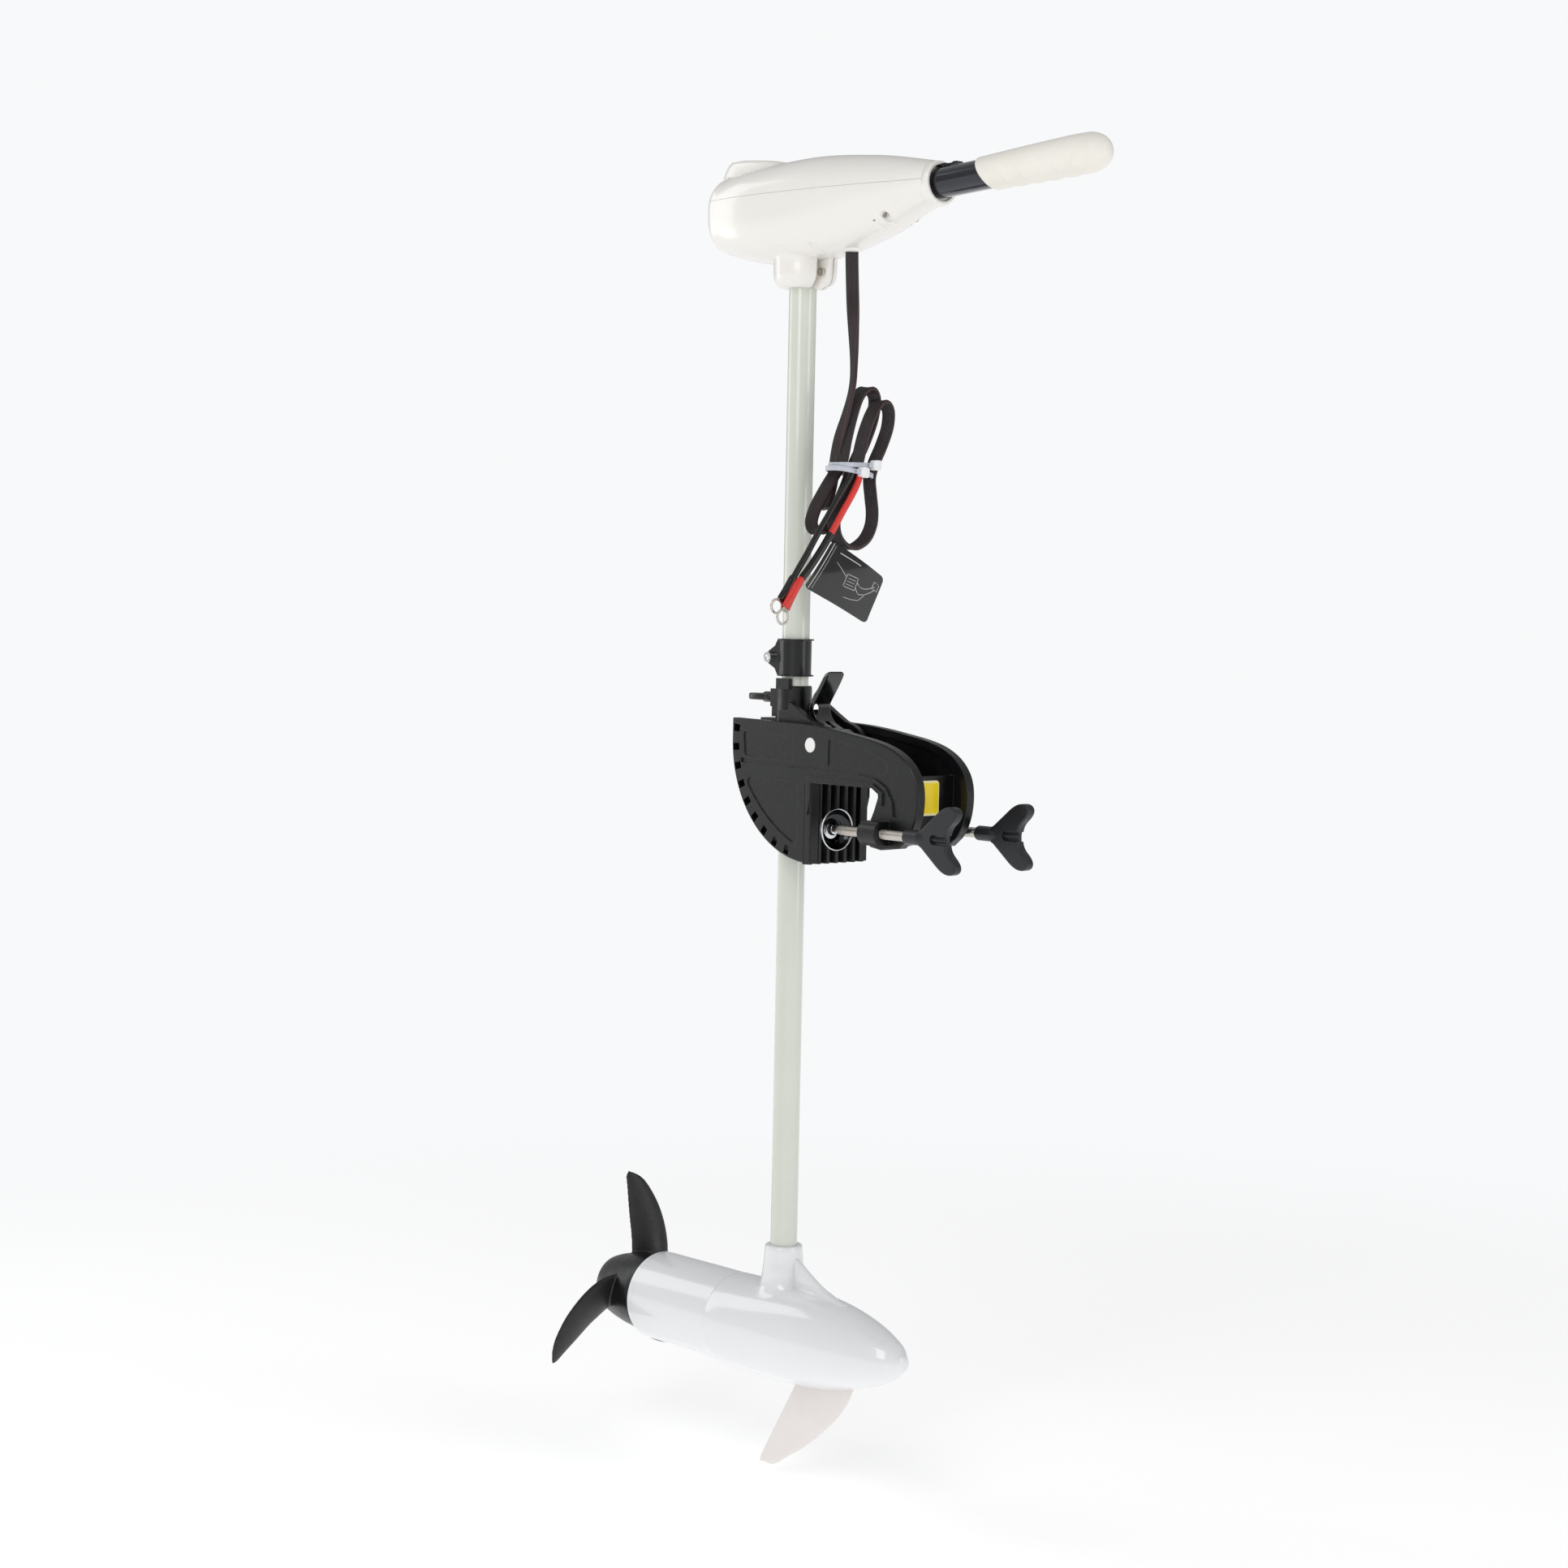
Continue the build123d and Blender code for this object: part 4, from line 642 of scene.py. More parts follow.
def head_shell(name, node, is_upper):
    """one half of the head, cut at the seam and given a wall"""
    xs = [HEAD_DOME_X - HEAD_DOME_LENGTH
          + HEAD_DOME_LENGTH * (1 - math.cos(math.pi / 2 * i / 22)) for i in range(22)]
    xs += list(np.linspace(HEAD_DOME_X, HEAD_END_X, 96))
    count = 144
    if not is_upper:
        # finer stations at the dimples and the louvres
        near_dimples = {d[0] + 0.6 * k for d in DIMPLES for k in range(-9, 10)}
        xs = sorted(set(xs) | near_dimples | {100 + 0.45 * k for k in range(90)})
        count = 360
    rings = [[hull(x, TAU * (j + 0.5) / count) for j in range(count)] for x in xs]
    mesh = make_mesh(name, skin(rings, caps=("first",)))
    bm = bmesh.new()
    bm.from_mesh(mesh)
    bmesh.ops.recalc_face_normals(bm, faces=bm.faces)
    cut_z = PROP_Z + (SEAM_Z + (SEAM_HALF_GAP if is_upper else -SEAM_HALF_GAP)) / 1000
    bmesh.ops.bisect_plane(bm, geom=bm.verts[:] + bm.edges[:] + bm.faces[:],
                           plane_co=(0, 0, cut_z), plane_no=Z_AXIS,
                           clear_inner=is_upper, clear_outer=not is_upper)
    bmesh.ops.remove_doubles(bm, verts=bm.verts, dist=1e-6)
    bm.to_mesh(mesh)
    bm.free()
    obj = link_object(name, mesh)
    mesh.materials.append(MATERIALS["white_plastic"])
    wall = obj.modifiers.new("wall", "SOLIDIFY")
    wall.thickness = HEAD_WALL / 1000
    wall.offset = -1
    walled = evaluated(obj)
    obj.modifiers.clear()
    obj.data = walled
    walled.name = name
    register(obj, node, body="motor", split_deg=40.0)


def seam_tongue():
    """light strip behind the seam, so that it reads as a fine grey line"""
    xs = [-107.0 + 21 * (1 - math.cos(math.pi / 2 * i / 12)) for i in range(12)]
    xs += list(np.linspace(-85, 177, 60))
    outline = []
    for side in (-1, 1):
        for x in (xs if side < 0 else xs[::-1]):
            # angle at which the hull comes nearest to the seam height
            angle = min((abs((hull(x, t).z - PROP_Z) * 1000 - SEAM_Z), t)
                        for t in np.linspace(-0.5, 0.9, 57))[1]
            outline.append((x, side * (abs(hull(x, angle).y) * 1000 - 0.75)))
    points = [at(x, y * pull, SEAM_Z + rise) for pull in (1.0, 0.96) for rise in (-1.6, 1.6)
              for x, y in outline]
    n = len(outline)
    faces = []
    for i in range(n - 1):
        k = i + 1
        faces += [(i, k, n + k, n + i), (2 * n + i, 3 * n + i, 3 * n + k, 2 * n + k),
                  (i, 2 * n + i, 2 * n + k, k), (n + i, n + k, 3 * n + k, 3 * n + i)]
    faces += [(0, n, 3 * n, 2 * n), (n - 1, 3 * n - 1, 4 * n - 1, 2 * n - 1)]
    add_piece("head_seam_tongue", (points, faces), "white_plastic", split_deg=60)


def meter_pod():
    """rounded block on top of the head near its -X end, with a sunken dark window"""
    # height above the pod's foot, width scale, length scale
    levels = ((0, 1.0, 1.0), (4, 0.99, 0.985), (9, 0.965, 0.96), (12.5, 0.93, 0.93),
              (14.6, 0.87, 0.89), (15.3, 0.76, 0.82))
    power = 4.5
    rings = []
    for rise, width, length in levels:
        ring = []
        for a in angles(56):
            cos_a, sin_a = math.cos(a), math.sin(a)
            x = -61 + 40 * length * squared(cos_a, power) + (rise * 0.35 if cos_a < 0 else 0)
            y = 23 * width * squared(sin_a, power)
            ring.append(at(x, y, 1107.5 + rise - max(0, (x + 66)) * 0.10 * (rise / 17)))
        rings.append(ring)
    recess = box((-90.4, -53.6), (-13.2, 13.2), (1119.4, 1130))
    add_piece("meter_pod", carve(skin(rings, caps=("last", "first")), [recess]),
              "white_plastic", split_deg=50)
    window = [(-90.1, -12.9), (-53.9, -12.9), (-53.9, 12.9), (-90.1, 12.9)]
    add_piece("meter_window", plate(window, thick=2.4, bevel=0.5, place=flat(0, 0, 1120.3)),
              "lens_dark", "meter_lens", split_deg=50)


def clamp_socket():
    """round skirt under the head, with a notch and a pinch ear on its +X side"""
    bore = 13.15
    profile = [    # z, radius
        (999.2, 13.6), (998.2, 15.0), (998.0, 18.0), (998.3, 20.6), (999.6, 22.8),
        (1002.2, 24.8), (1005.0, 26.6), (1008.5, 27.8), (1014, 28.2), (1021, 28.3),
        (1026, 28.8), (1029, 30.2), (1031.5, 32.8), (1033.5, 36.0), (1036, 36.0),
        (1036, bore), (999.2, bore), (999.2, 13.6)]
    ear_outline = [    # x, z
        (16, 999.4), (26, 999.2), (31, 1001), (34, 1005), (35.2, 1012), (35.6, 1022),
        (37.5, 1034), (16, 1034)]
    skirt = lathe(at(0, 0, 0), Z_AXIS, profile, count=96)
    ear = plate(smooth_outline(ear_outline, 1.0), thick=11.4, bevel=1.6, place=upright(5.8))
    notch = box((14.5, 47), (-7.6, 0.0), (990, 1029.5))
    slit = box((12.5, 44), (5.1, 6.5), (990, 1027.5))
    cross_hole = rod((27, 6, 1012.5), Y_AXIS, radius=2.75, length=24)
    shape = carve(fuse(join([skirt, ear]), voxel=0.7), [notch, slit, cross_hole])
    add_piece("head_clamp_socket", shape, "white_plastic", split_deg=42)


def cable_exit_pad():
    """soft pad where the cable leaves the head"""
    profile = [    # z, radius
        (1036, 0.01), (1036, 11.0), (1031.5, 10.4), (1029.8, 9.2), (1028.7, 7.6),
        (1028.3, 6.2), (1028.3, 0.01)]
    add_piece("cable_exit_pad", lathe(at(66, 0, 0), Z_AXIS, profile, count=56),
              "white_plastic", "cable_gland", split_deg=60)


# ------------------------------------------------------------------ tiller grip
GRIP_TILT = math.radians(3.2)
GRIP_ORIGIN = at(182, 0, 1081.5)
GRIP_ALONG = Vector((math.cos(GRIP_TILT), 0, math.sin(GRIP_TILT)))
GRIP_UP = Vector((-math.sin(GRIP_TILT), 0, math.cos(GRIP_TILT)))
GRIP_DOME, GRIP_END = 178, 201.5    # places along the grip from its origin
GRIP_VALLEYS = (87.5, 109.0, 128.5, 148.2, 168.0)
grip_body_radius = cubic([46, 80, 120, 150, 168, 184], [15.4, 16.3, 17.2, 17.7, 17.8, 17.2])


def grip_point(along, radius, angle):
    spoke = Vector(Y_AXIS) * math.cos(angle) + GRIP_UP * math.sin(angle)
    return GRIP_ORIGIN + GRIP_ALONG * (along / 1000) + spoke * (radius / 1000)


def grip_start(angle):
    """the grip starts on a slanted edge"""
    return 59.5 - 8.75 * math.sin(angle)


def grip_radius(s, angle):
    """radius at s along the grip, with finger valleys on the underside"""
    radius = grip_body_radius(min(s, GRIP_DOME))
    if s > GRIP_DOME:
        radius *= dome(min(1.0, (s - GRIP_DOME) / 23.6), 2.25)
    under = max(0.0, -math.sin(angle) + 0.15)
    if under > 0 and 74 < s < 182:
        valley = max(math.exp(-((s - v) / 3.0) ** 2) + 0.30 * math.exp(-((s - v) / 7.5) ** 2)
                     for v in GRIP_VALLEYS)
        radius -= 1.55 * valley * min(1.0, under) ** 1.3 * min(1, (182 - s) / 8)
    return radius


def twist_grip():
    around = angles(96)
    # two rings inside the open end, as (distance from the slanted edge, radius)
    rings = [[grip_point(grip_start(a) + inset, radius, a) for a in around]
             for inset, radius in ((8, 13.85), (0.2, 14.2))]
    rows = 190
    for i in range(rows):
        share = i / (rows - 1)
        if share >= 0.7:    # rings crowd together toward the domed end
            share = 0.7 + 0.3 * math.sin((share - 0.7) / 0.3 * math.pi / 2)
        ring = []
        for a in around:
            start = grip_start(a)
            s = start + (GRIP_END - start) * share
            edge = min(1.0, (s - start) / 1.6)
            radius = max(grip_radius(min(s, GRIP_END), a), 0.02) - (1 - edge) ** 2
            ring.append(grip_point(s, radius, a))
        rings.append(ring)
    add_piece("twist_grip", skin(rings), "grip_white", "tiller_grip", body="tiller",
              split_deg=55)


# ------------------------------------------------------------------ propeller
PROP_HUB = [    # x, radius
    (-188, 5.2), (-188, 36.5), (-188.6, 37.8), (-190, 38.6), (-196, 38.8), (-206, 38.2),
    (-218, 36.8), (-232, 34.2), (-244, 31.2), (-253, 28.0), (-255.5, 26.4), (-256, 25.0),
    (-255, 23.8), (-225, 21.5), (-214, 20.0), (-213, 18.5), (-213, 5.2), (-188, 5.2)]
# radius, leading edge degrees, trailing edge degrees, leading edge x, trailing edge x, thickness
BLADE_STATIONS = (
    (31, 22, 90, -214.5, -231, 7.2), (40, 31, 90.4, -216.8, -231.2, 6.4),
    (50, 41, 90.9, -219, -231.5, 5.6), (60, 50.4, 91.5, -221, -232.2, 5.0),
    (70, 58.6, 92.4, -222.6, -232.5, 4.5), (80, 65.6, 93.1, -224.1, -232.5, 4.0),
    (90, 71.8, 93.5, -225.8, -232.4, 3.6), (100, 77.7, 93.8, -227.3, -232.3, 3.1),
    (108, 82.2, 94.1, -228.4, -232.2, 2.6), (114, 86.4, 94.2, -229.4, -232.2, 2.2),
    (119, 91.6, 93.6, -231.0, -232.0, 1.5))
BLADE_CURVES = splines(BLADE_STATIONS)
BLADE_COUNT = 3


def blade(turn):
    """one blade, turned by some degrees about the propeller axis"""
    tip = BLADE_STATIONS[-1][0]
    rings = []
    for radius in [*np.linspace(31, 114, 44), 115.5, 117, 118.2, 119.2, 119.8]:
        lead, trail, lead_x, trail_x, thick = (f(min(radius, tip)) for f in BLADE_CURVES)
        if radius > tip:
            lead += 0.8
            trail -= 0.8
        run, arc = lead_x - trail_x, math.radians(trail - lead) * radius
        chord = math.hypot(run, arc)
        ring = []
        for phase in angles(52):
            u, half = foil(phase, thick, 0.8)    # u is 0 at the trailing edge
            offset = half * (0.85 + 0.3 * u) + 0.055 * chord * 4 * u * (1 - u)
            x = trail_x + run * u + offset * arc / chord
            angle = math.radians(trail + turn) - (arc * u - offset * run / chord) / radius
            ring.append(at(x, radius * math.cos(angle), radius * math.sin(angle)))
        rings.append(ring)
    return skin(rings)


def propeller():
    hub = lathe(at(0, 0, 0), X_AXIS, PROP_HUB, count=96)
    blades = [blade(360 // BLADE_COUNT * k) for k in range(BLADE_COUNT)]
    add_piece("propeller_moulding", fuse(join([hub, *blades]), voxel=0.75, passes=8),
              "prop_black", "propeller", body="rotor", split_deg=50)


# ------------------------------------------------------------------ nose housing
nose_bottom_radius = cubic(
    [-66, -58, -30, 10, 45, 75, 107, 132, 148, 160, 166],
    [45.8, 47.2, 48.2, 48.0, 46.0, 42.3, 35.6, 28.0, 21.5, 14.4, 8.6])
nose_top_radius = cubic(
    [-66, -50, -20, 10, 45, 75, 107, 132, 148, 160, 166],
    [44.15, 44.6, 45.4, 45.6, 44.4, 41.6, 35.4, 28.0, 21.5, 14.4, 8.6])
NOSE_TIP_X, NOSE_TIP_RADIUS, NOSE_TIP_LENGTH = 166, 8.6, 3.5
COLLAR_BORE = 13.1


def nose_radius(x, angle):
    """outer radius of the nose; 90 degrees is on top. The step onto the tube is below only."""
    if x > NOSE_TIP_X:
        share = (x - NOSE_TIP_X) / NOSE_TIP_LENGTH
        return NOSE_TIP_RADIUS * math.sqrt(max(0.0, 1 - share ** 2))
    low = 0.5 - 0.5 * math.sin(angle)
    return nose_top_radius(x) * (1 - low) + nose_bottom_radius(x) * low


def nose_z(x, y):
    """height of the nose surface above the propeller axis at a side offset y"""
    angle = math.pi / 2
    for _ in range(4):
        radius = nose_radius(x, angle)
        angle = math.acos(max(-0.999, min(0.999, y / radius)))
    return math.sqrt(max(0.0, nose_radius(x, angle) ** 2 - y * y))


def nose_shell():
    inner = [    # x, radius
        (148, 0.01), (140, 10), (110, 22), (60, 33), (5, 37), (5, 6), (0, 6), (0, 11.02),
        (-8, 11.02), (-8, 15), (0, 15), (0, 37), (-5, 37), (-5, 40.95), (-65.2, 40.95),
        (-66, 41.6)]
    rings = [x_ring(x, radius, 120) for x, radius in inner]
    outer_xs = [-66, -65.6, *np.linspace(-65, -50, 12), *np.linspace(-46, 150, 70), 153, 156,
                159, 162, 164, 166, 167.2, 168.2, 168.9, 169.3, 169.49]
    rim_trim = {0: 0.6, 1: 0.15}    # the first two outer rings are drawn in
    for i, x in enumerate(outer_xs):
        trim = rim_trim.get(i, 0)
        rings.append(x_ring(x, lambda a: nose_radius(x, a) - trim, 120))
    return skin(rings)


def nose_collar():
    """collar round the shaft, with a soft foot that follows the nose"""
    foot = [    # radius, height over the nose, share of a level ring
        (30.5, -0.9, 0), (28.5, 0.05, 0), (26.6, 0.5, 0), (25.0, 1.2, 0), (23.6, 2.4, 0),
        (22.4, 4.2, 0.12), (21.5, 6.8, 0.35), (20.9, 10.0, 0.65), (20.4, 14, 0.9),
        (20.0, 18, 1.0)]
    upper = [    # z, radius
        (66, 19.4), (74, 18.9), (80, 18.5), (82.6, 18.2), (83.6, 17.6), (84, 16.6),
        (84, COLLAR_BORE), (60, COLLAR_BORE), (44, COLLAR_BORE), (40, COLLAR_BORE)]
    rings = [[at(x, y, (nose_z(x, y) + height) * (1 - level) + (45.2 + height) * level)
              for x, y in circle(radius, 96)] for radius, height, level in foot]
    rings += [[at(x, y, z) for x, y in circle(radius, 96)] for z, radius in upper]
    return skin(rings, caps=(), looped=True)


def nose_gusset():
    """web on the +X side of the collar, with a soft foot"""
    crest = cubic([12, 20, 34, 50, 66, 80, 90], [75.5, 72.5, 64.0, 55.0, 47.6, 43.0, 40.6])
    foot = [(11, -1.2), (8.6, 0.1), (6.6, 0.8), (5.0, 2.2), (4.0, 4.4), (3.4, 8.0)]  # y, rise
    rings = []
    for x in np.linspace(10, 88, 44):
        top = max(crest(x), nose_z(x, 0) - 0.4)
        ring = []
        for side in (1, -1):
            flank = []
            for y, rise in foot:
                base = nose_z(x, min(y, 20))
                full = min(1.0, max(0.0, (top - base) / 12.0))
                z = base + rise
                if rise > 0:
                    z = min(base + rise * (0.25 + 0.75 * full), top - 0.8)
                flank.append((side * (3.0 + (y - 3.0) * (0.35 + 0.65 * full)), z))
            flank += [(side * 3.1, max(top - 2.4, flank[-1][1] + 0.02)),
                      (side * 2.5, top - 0.9), (side * 1.3, top - 0.1)]
            ring += flank if side > 0 else flank[::-1]
        rings.append([at(x, y, z) for y, z in ring])
    return skin(rings)


def nose_casting():
    add_piece("nose_casting", join([nose_shell(), nose_collar(), nose_gusset()]),
              "white_paint", "nose_housing", split_deg=38)


# ------------------------------------------------------------------ skeg
def skeg():
    lead_x = cubic([-135, -128, -111, -90, -71, -52, -36], [-6, 3, 30, 58, 79, 94.5, 102.5])
    rings = []
    for z in np.linspace(-30, -134.5, 60):
        lead = lead_x(z) if z < -36 else 103.5
        trail = 21 + (z + 49.5) * (49 / 81.5 if z < -49.5 else 0.3)
        if z < -127:    # rounded lower corners
            corner = (-127 - z) / 8.0
            trail += 2.0 * corner * corner
            lead -= 4.0 * corner * corner
        thick = 7.4 - 3.4 * (-(z + 30) / 105)
        if z < -131:
            thick *= max(0.25, 1 - ((-131 - z) / 4.2) ** 2)
        ring = []
        for phase in angles(44):
            u, half = foil(phase, thick, 0.75)
            ring.append(at(trail + (lead - trail) * u, half, z))
        rings.append(ring)
    add_piece("skeg_fin", skin(rings), "skeg_white", "skeg", split_deg=60)


# ------------------------------------------------------------------ clamp screws
SCREW_Z, SCREW_Y = 495, 46.0    # height, and offset to each side
WING_HALF = [    # x, height above the screw axis
    (222.5, 5.6), (226.5, 8.6), (231, 12.2), (239, 18.5), (247, 24.8), (253, 28.4),
    (259, 30.2), (265, 29.8), (269, 26.8), (269.4, 22.2), (266, 17.2), (261.4, 13),
    (258.6, 9.4), (257.2, 5.8), (256.6, 2.0)]
HANDLE_HUB = [    # x, radius
    (203.3, 0), (203.3, 5.6), (203.9, 6.5), (205.0, 6.9), (215, 6.9), (222, 6.9), (226, 6.0),
    (230, 4.4), (231, 0)]
HANDLE_RIB = [(236, 0), (236, 2.9), (254.6, 2.9), (255.4, 2.2), (255.4, 0)]    # x, radius
SCREW_NECK = [(104.6, 2.4), (104.8, 2.6), (115.6, 2.6), (115.9, 3.6)]    # x, radius
THREAD_START, THREAD_END, THREAD_STEP = 116.4, 204.5, 0.159
THREAD_RADIUS, THREAD_DEPTH, THREAD_PITCH = 4.75, 0.30, 1.27
PAD_DISH = [    # x, radius
    (102.4, 0.01), (102.4, 9.5), (102.7, 11.5), (104.0, 14.2), (107.0, 16.7), (110.4, 18.3),
    (111.6, 19.0), (112.4, 19.6), (113.1, 19.5), (113.3, 18.9), (112.9, 18.3), (111.6, 17.8),
    (108.2, 16.0), (105.4, 13.6), (104.4, 11.2), (104.3, 9.0), (104.3, 6.2), (104.7, 5.5),
    (108.7, 5.1), (109.4, 4.6), (109.5, 2.75), (104.4, 2.75), (104.4, 0.01)]


def screw_handle(y, side):
    outline = smooth_outline(WING_HALF + [(x, -z) for x, z in WING_HALF[::-1]], 0.8)
    wing = plate([(x, z + SCREW_Z) for x, z in outline], thick=9.4, bevel=1.2,
                 place=upright(y), resolution=5)
    centre = at(0, y, SCREW_Z)
    hub = lathe(centre, X_AXIS, HANDLE_HUB, count=48)
    rib = lathe(centre, X_AXIS, HANDLE_RIB, count=32)
    # slot on both faces, rounded at its -X end, with the rib along its middle
    slot_half = 4.4
    slots = []
    for face in (-1, 1):
        y0, y1 = sorted((y + face * 1.7, y + face * 8.0))
        slots.append(box((242.0, 264.0), (y0, y1), (SCREW_Z - slot_half, SCREW_Z + slot_half)))
        slots.append(rod((242.05, (y0 + y1) / 2, SCREW_Z), Y_AXIS, slot_half, y1 - y0))
    body = carve(fuse(join([wing, hub]), voxel=0.6), slots)
    add_piece("screw_handle_" + side, join([body, rib]), "handle_black",
              "clamp_handle_" + side, body="screw_" + side, split_deg=50)


def screw_thread(y, side):
    """rod with a turned neck at the pad end and a rolled thread"""
    count = 28
    rings = [x_ring(x, radius, count, y, SCREW_Z) for x, radius in SCREW_NECK]
    for i in range(int((THREAD_END - THREAD_START) / THREAD_STEP) + 1):
        x = THREAD_START + i * THREAD_STEP

        def radius(angle):
            phase = (x / THREAD_PITCH - angle / TAU) % 1.0
            return THREAD_RADIUS - THREAD_DEPTH * abs(2 * phase - 1)
        rings.append(x_ring(x, radius, count, y, SCREW_Z))
    add_piece("screw_thread_" + side, skin(rings), "screw_steel", "clamp_screw_" + side,
              body="screw_" + side, split_deg=80)


def screw_pad(y, side):
    """pressed cup that opens toward the handle, with a rolled rim and a socket in the middle"""
    count = 72
    shape = lathe(at(0, y, SCREW_Z), X_AXIS, PAD_DISH, count)
    bands = [i // count for i in range(len(shape[1]))]
    # painted reflection: the rim and the socket faces take bright chrome, the rest a darkened
    # chrome that stands in for the black bracket reflected inside the cup
    add_piece("pad_dish_" + side, shape, "chrome", "clamp_pad_" + side, body="pad_" + side,
              split_deg=50, looks=["chrome", "chrome_dark"],
              face_looks=[0 if 4 <= band <= 9 or band >= 15 else 1 for band in bands])


def clamp_screws():
    for sign, side in ((-1, "right"), (1, "left")):
        for part in (screw_handle, screw_thread, screw_pad):
            part(sign * SCREW_Y, side)


# ------------------------------------------------------------------ tilt lever
LEVER_HUB_X, LEVER_HUB_Z = 63.4, 570.0
LEVER_PIN_X, LEVER_PIN_Z = 42.960, 580.325


def tilt_lever():
    low_x_edge = [    # x, z, upward
        (55, 574), (46, 583), (41, 589), (36.2, 595.5), (32.4, 600.5), (32.2, 604.5),
        (34.3, 609.5), (38, 616), (42.7, 621), (47.5, 628), (52.5, 635), (55.2, 637.8)]
    high_x_edge = [    # x, z, downward
        (58, 637), (54.5, 630), (48, 620), (41.8, 611), (39.2, 606), (40.2, 598), (45.5, 591),
        (53, 587), (62, 583.5), (70, 581)]
    outline = (smooth_outline(low_x_edge, 1.0, closed=False) + [(57.2, 638.4)]
               + smooth_outline(high_x_edge, 1.0, closed=False))
    arm = plate(outline, thick=22, bevel=0.9, place=upright(0))
    hub_profile = [    # along y, radius
        (0, 0.01), (0, 13.7), (0.8, 14.5), (21.2, 14.5), (22, 13.7), (22, 0.01)]
    hub = lathe(at(LEVER_HUB_X, -11, LEVER_HUB_Z), Y_AXIS, hub_profile, count=72)
    tail_outline = [(LEVER_PIN_X - 4, LEVER_PIN_Z - 5), (LEVER_PIN_X - 4, LEVER_PIN_Z + 5),
                    (52, 582), (56, 562)]
    tail = plate(tail_outline, thick=16, bevel=0.6, place=upright(0))
    cutters = [
        rod((LEVER_HUB_X, 0, LEVER_HUB_Z), Y_AXIS, radius=7.0, length=40, count=64),
        box((23, 57), (-2.5, 2.5), (551, 591)),
        rod((37.5, -6.6, 602), (0.743, -0.669, 0), radius=2.3, length=44, rise=5.2)]
    corner = [    # y, z of what is cut off each upper corner of the paddle
        (12.5, 631), (11.05, 632.5), (10.2, 635.3), (8.2, 637.4), (5.2, 639.2), (12.5, 640)]
    for side in (-1, 1):
        cutters.append(prism([at(x, side * y, z) for x in (44, 66) for y, z in corner]))
    body = carve(fuse(join([arm, hub, tail]), voxel=0.65), cutters)
    pin = lathe(at(LEVER_PIN_X, -8, LEVER_PIN_Z), Y_AXIS,
                [(0, 0.01), (0, 2.6), (16, 2.6), (16, 0.01)], count=32)
    add_piece("tilt_lever_paddle", join([body, pin]), "lever_gloss", "tilt_lever",
              body="lever", split_deg=45)


# ------------------------------------------------------------------ tension knob
def tension_knob():
    knob_z = 611
    stem_profile = [    # x, radius
        (-26.1, 0), (-26.1, 4.7), (-26.6, 5.2), (-41, 5.2), (-43, 4.6), (-44, 3.0), (-44, 0)]
    blade_outline = [    # x, y
        (-30, 5.3), (-37, 6.7), (-44, 7.5), (-51, 7.5), (-57, 6.7), (-61, 4.6), (-62.8, 0),
        (-61, -4.6), (-57, -6.7), (-51, -7.5), (-44, -7.5), (-37, -6.7), (-30, -5.3)]
    stem = lathe(at(0, 0, knob_z), X_AXIS, stem_profile, count=48)
    thumb_blade = plate(smooth_outline(blade_outline, 0.8), thick=6.4, bevel=1.6,
                        place=flat(0, 0, knob_z), resolution=5)
    add_piece("tension_thumb_knob", fuse(join([stem, thumb_blade]), voxel=0.5),
              "collar_black", "tension_knob", body="knob", split_deg=60)


# ------------------------------------------------------------------ power cable
CABLE_WIDTH, CABLE_THICK, CABLE_RIBS, RIB_STEPS = 12.2, 4.6, 7, 6
CABLE_LOOP_A = [    # y, z of a closed loop
    (-2.5, 834.7), (2.4, 856), (8.4, 876.9), (15.6, 894.9), (24, 902.4), (33, 901.8),
    (38.0, 893), (34.8, 874.4), (25, 852), (14.1, 833), (5, 812.7), (-8.4, 786.0),
    (-20, 772.5), (-31.3, 768.5), (-38.0, 775.2), (-34.5, 788.3), (-22.4, 806.9), (-11, 822)]
CABLE_LOOP_B = [
    (10.0, 834.6), (14, 848), (19.2, 862.8), (27.2, 879), (36, 890.0), (44, 890.7),
    (50.2, 883.6), (49, 868.3), (41.0, 850), (32, 834), (26.5, 820), (28.0, 803.9),
    (30.0, 788), (28, 774.8), (20, 762.5), (6, 755.0), (-8, 756), (-17.0, 764.6),
    (-19.1, 778.5), (-12.3, 796.9), (-2.0, 815), (5, 825)]
CABLE_DROP = [    # x, y, z from the head into the bundle, ending behind the first loop
    (66, 0.6, 1034), (66, 1.0, 1018), (66, 2.6, 990), (66, 4.6, 960), (66, 6.2, 930),
    (65.4, 5.6, 905), (62, 1.5, 880), (58, -3.0, 858), (54, -4.0, 838), (52.5, -4.0, 822),
    (53, -8, 806), (55, -16, 790)]


def cable_profile():
    """flat section with ribs along both wide faces and rounded edges"""
    steps = CABLE_RIBS * RIB_STEPS
    top = []
    for i in range(steps + 1):
        u = i / steps
        groove = (0.5 + 0.5 * math.cos(TAU * ((u * CABLE_RIBS) % 1.0))) ** 1.5
        top.append((-CABLE_WIDTH / 2 + 0.8 + (CABLE_WIDTH - 1.6) * u,
                    CABLE_THICK / 2 - 0.42 * groove))
    side, rise = CABLE_WIDTH / 2 - 0.1, CABLE_THICK * 0.22
    edge = [(side, rise), (CABLE_WIDTH / 2, 0.0), (side, -rise)]
    return top + edge + [(x, -y) for x, y in top[::-1]] + [(-x, -y) for x, y in edge]


def drop_direction(share):
    """direction of the drop's wide side: it turns one way and later back"""
    turn = smoothstep(min(1.0, max(0.0, (share - 0.08) / 0.42)))
    turn_back = smoothstep(min(1.0, max(0.0, (share - 0.55) / 0.22)))
    angle = math.radians(48 - 76 * turn + 28 * turn_back)
    return (math.cos(angle), math.sin(angle), 0)


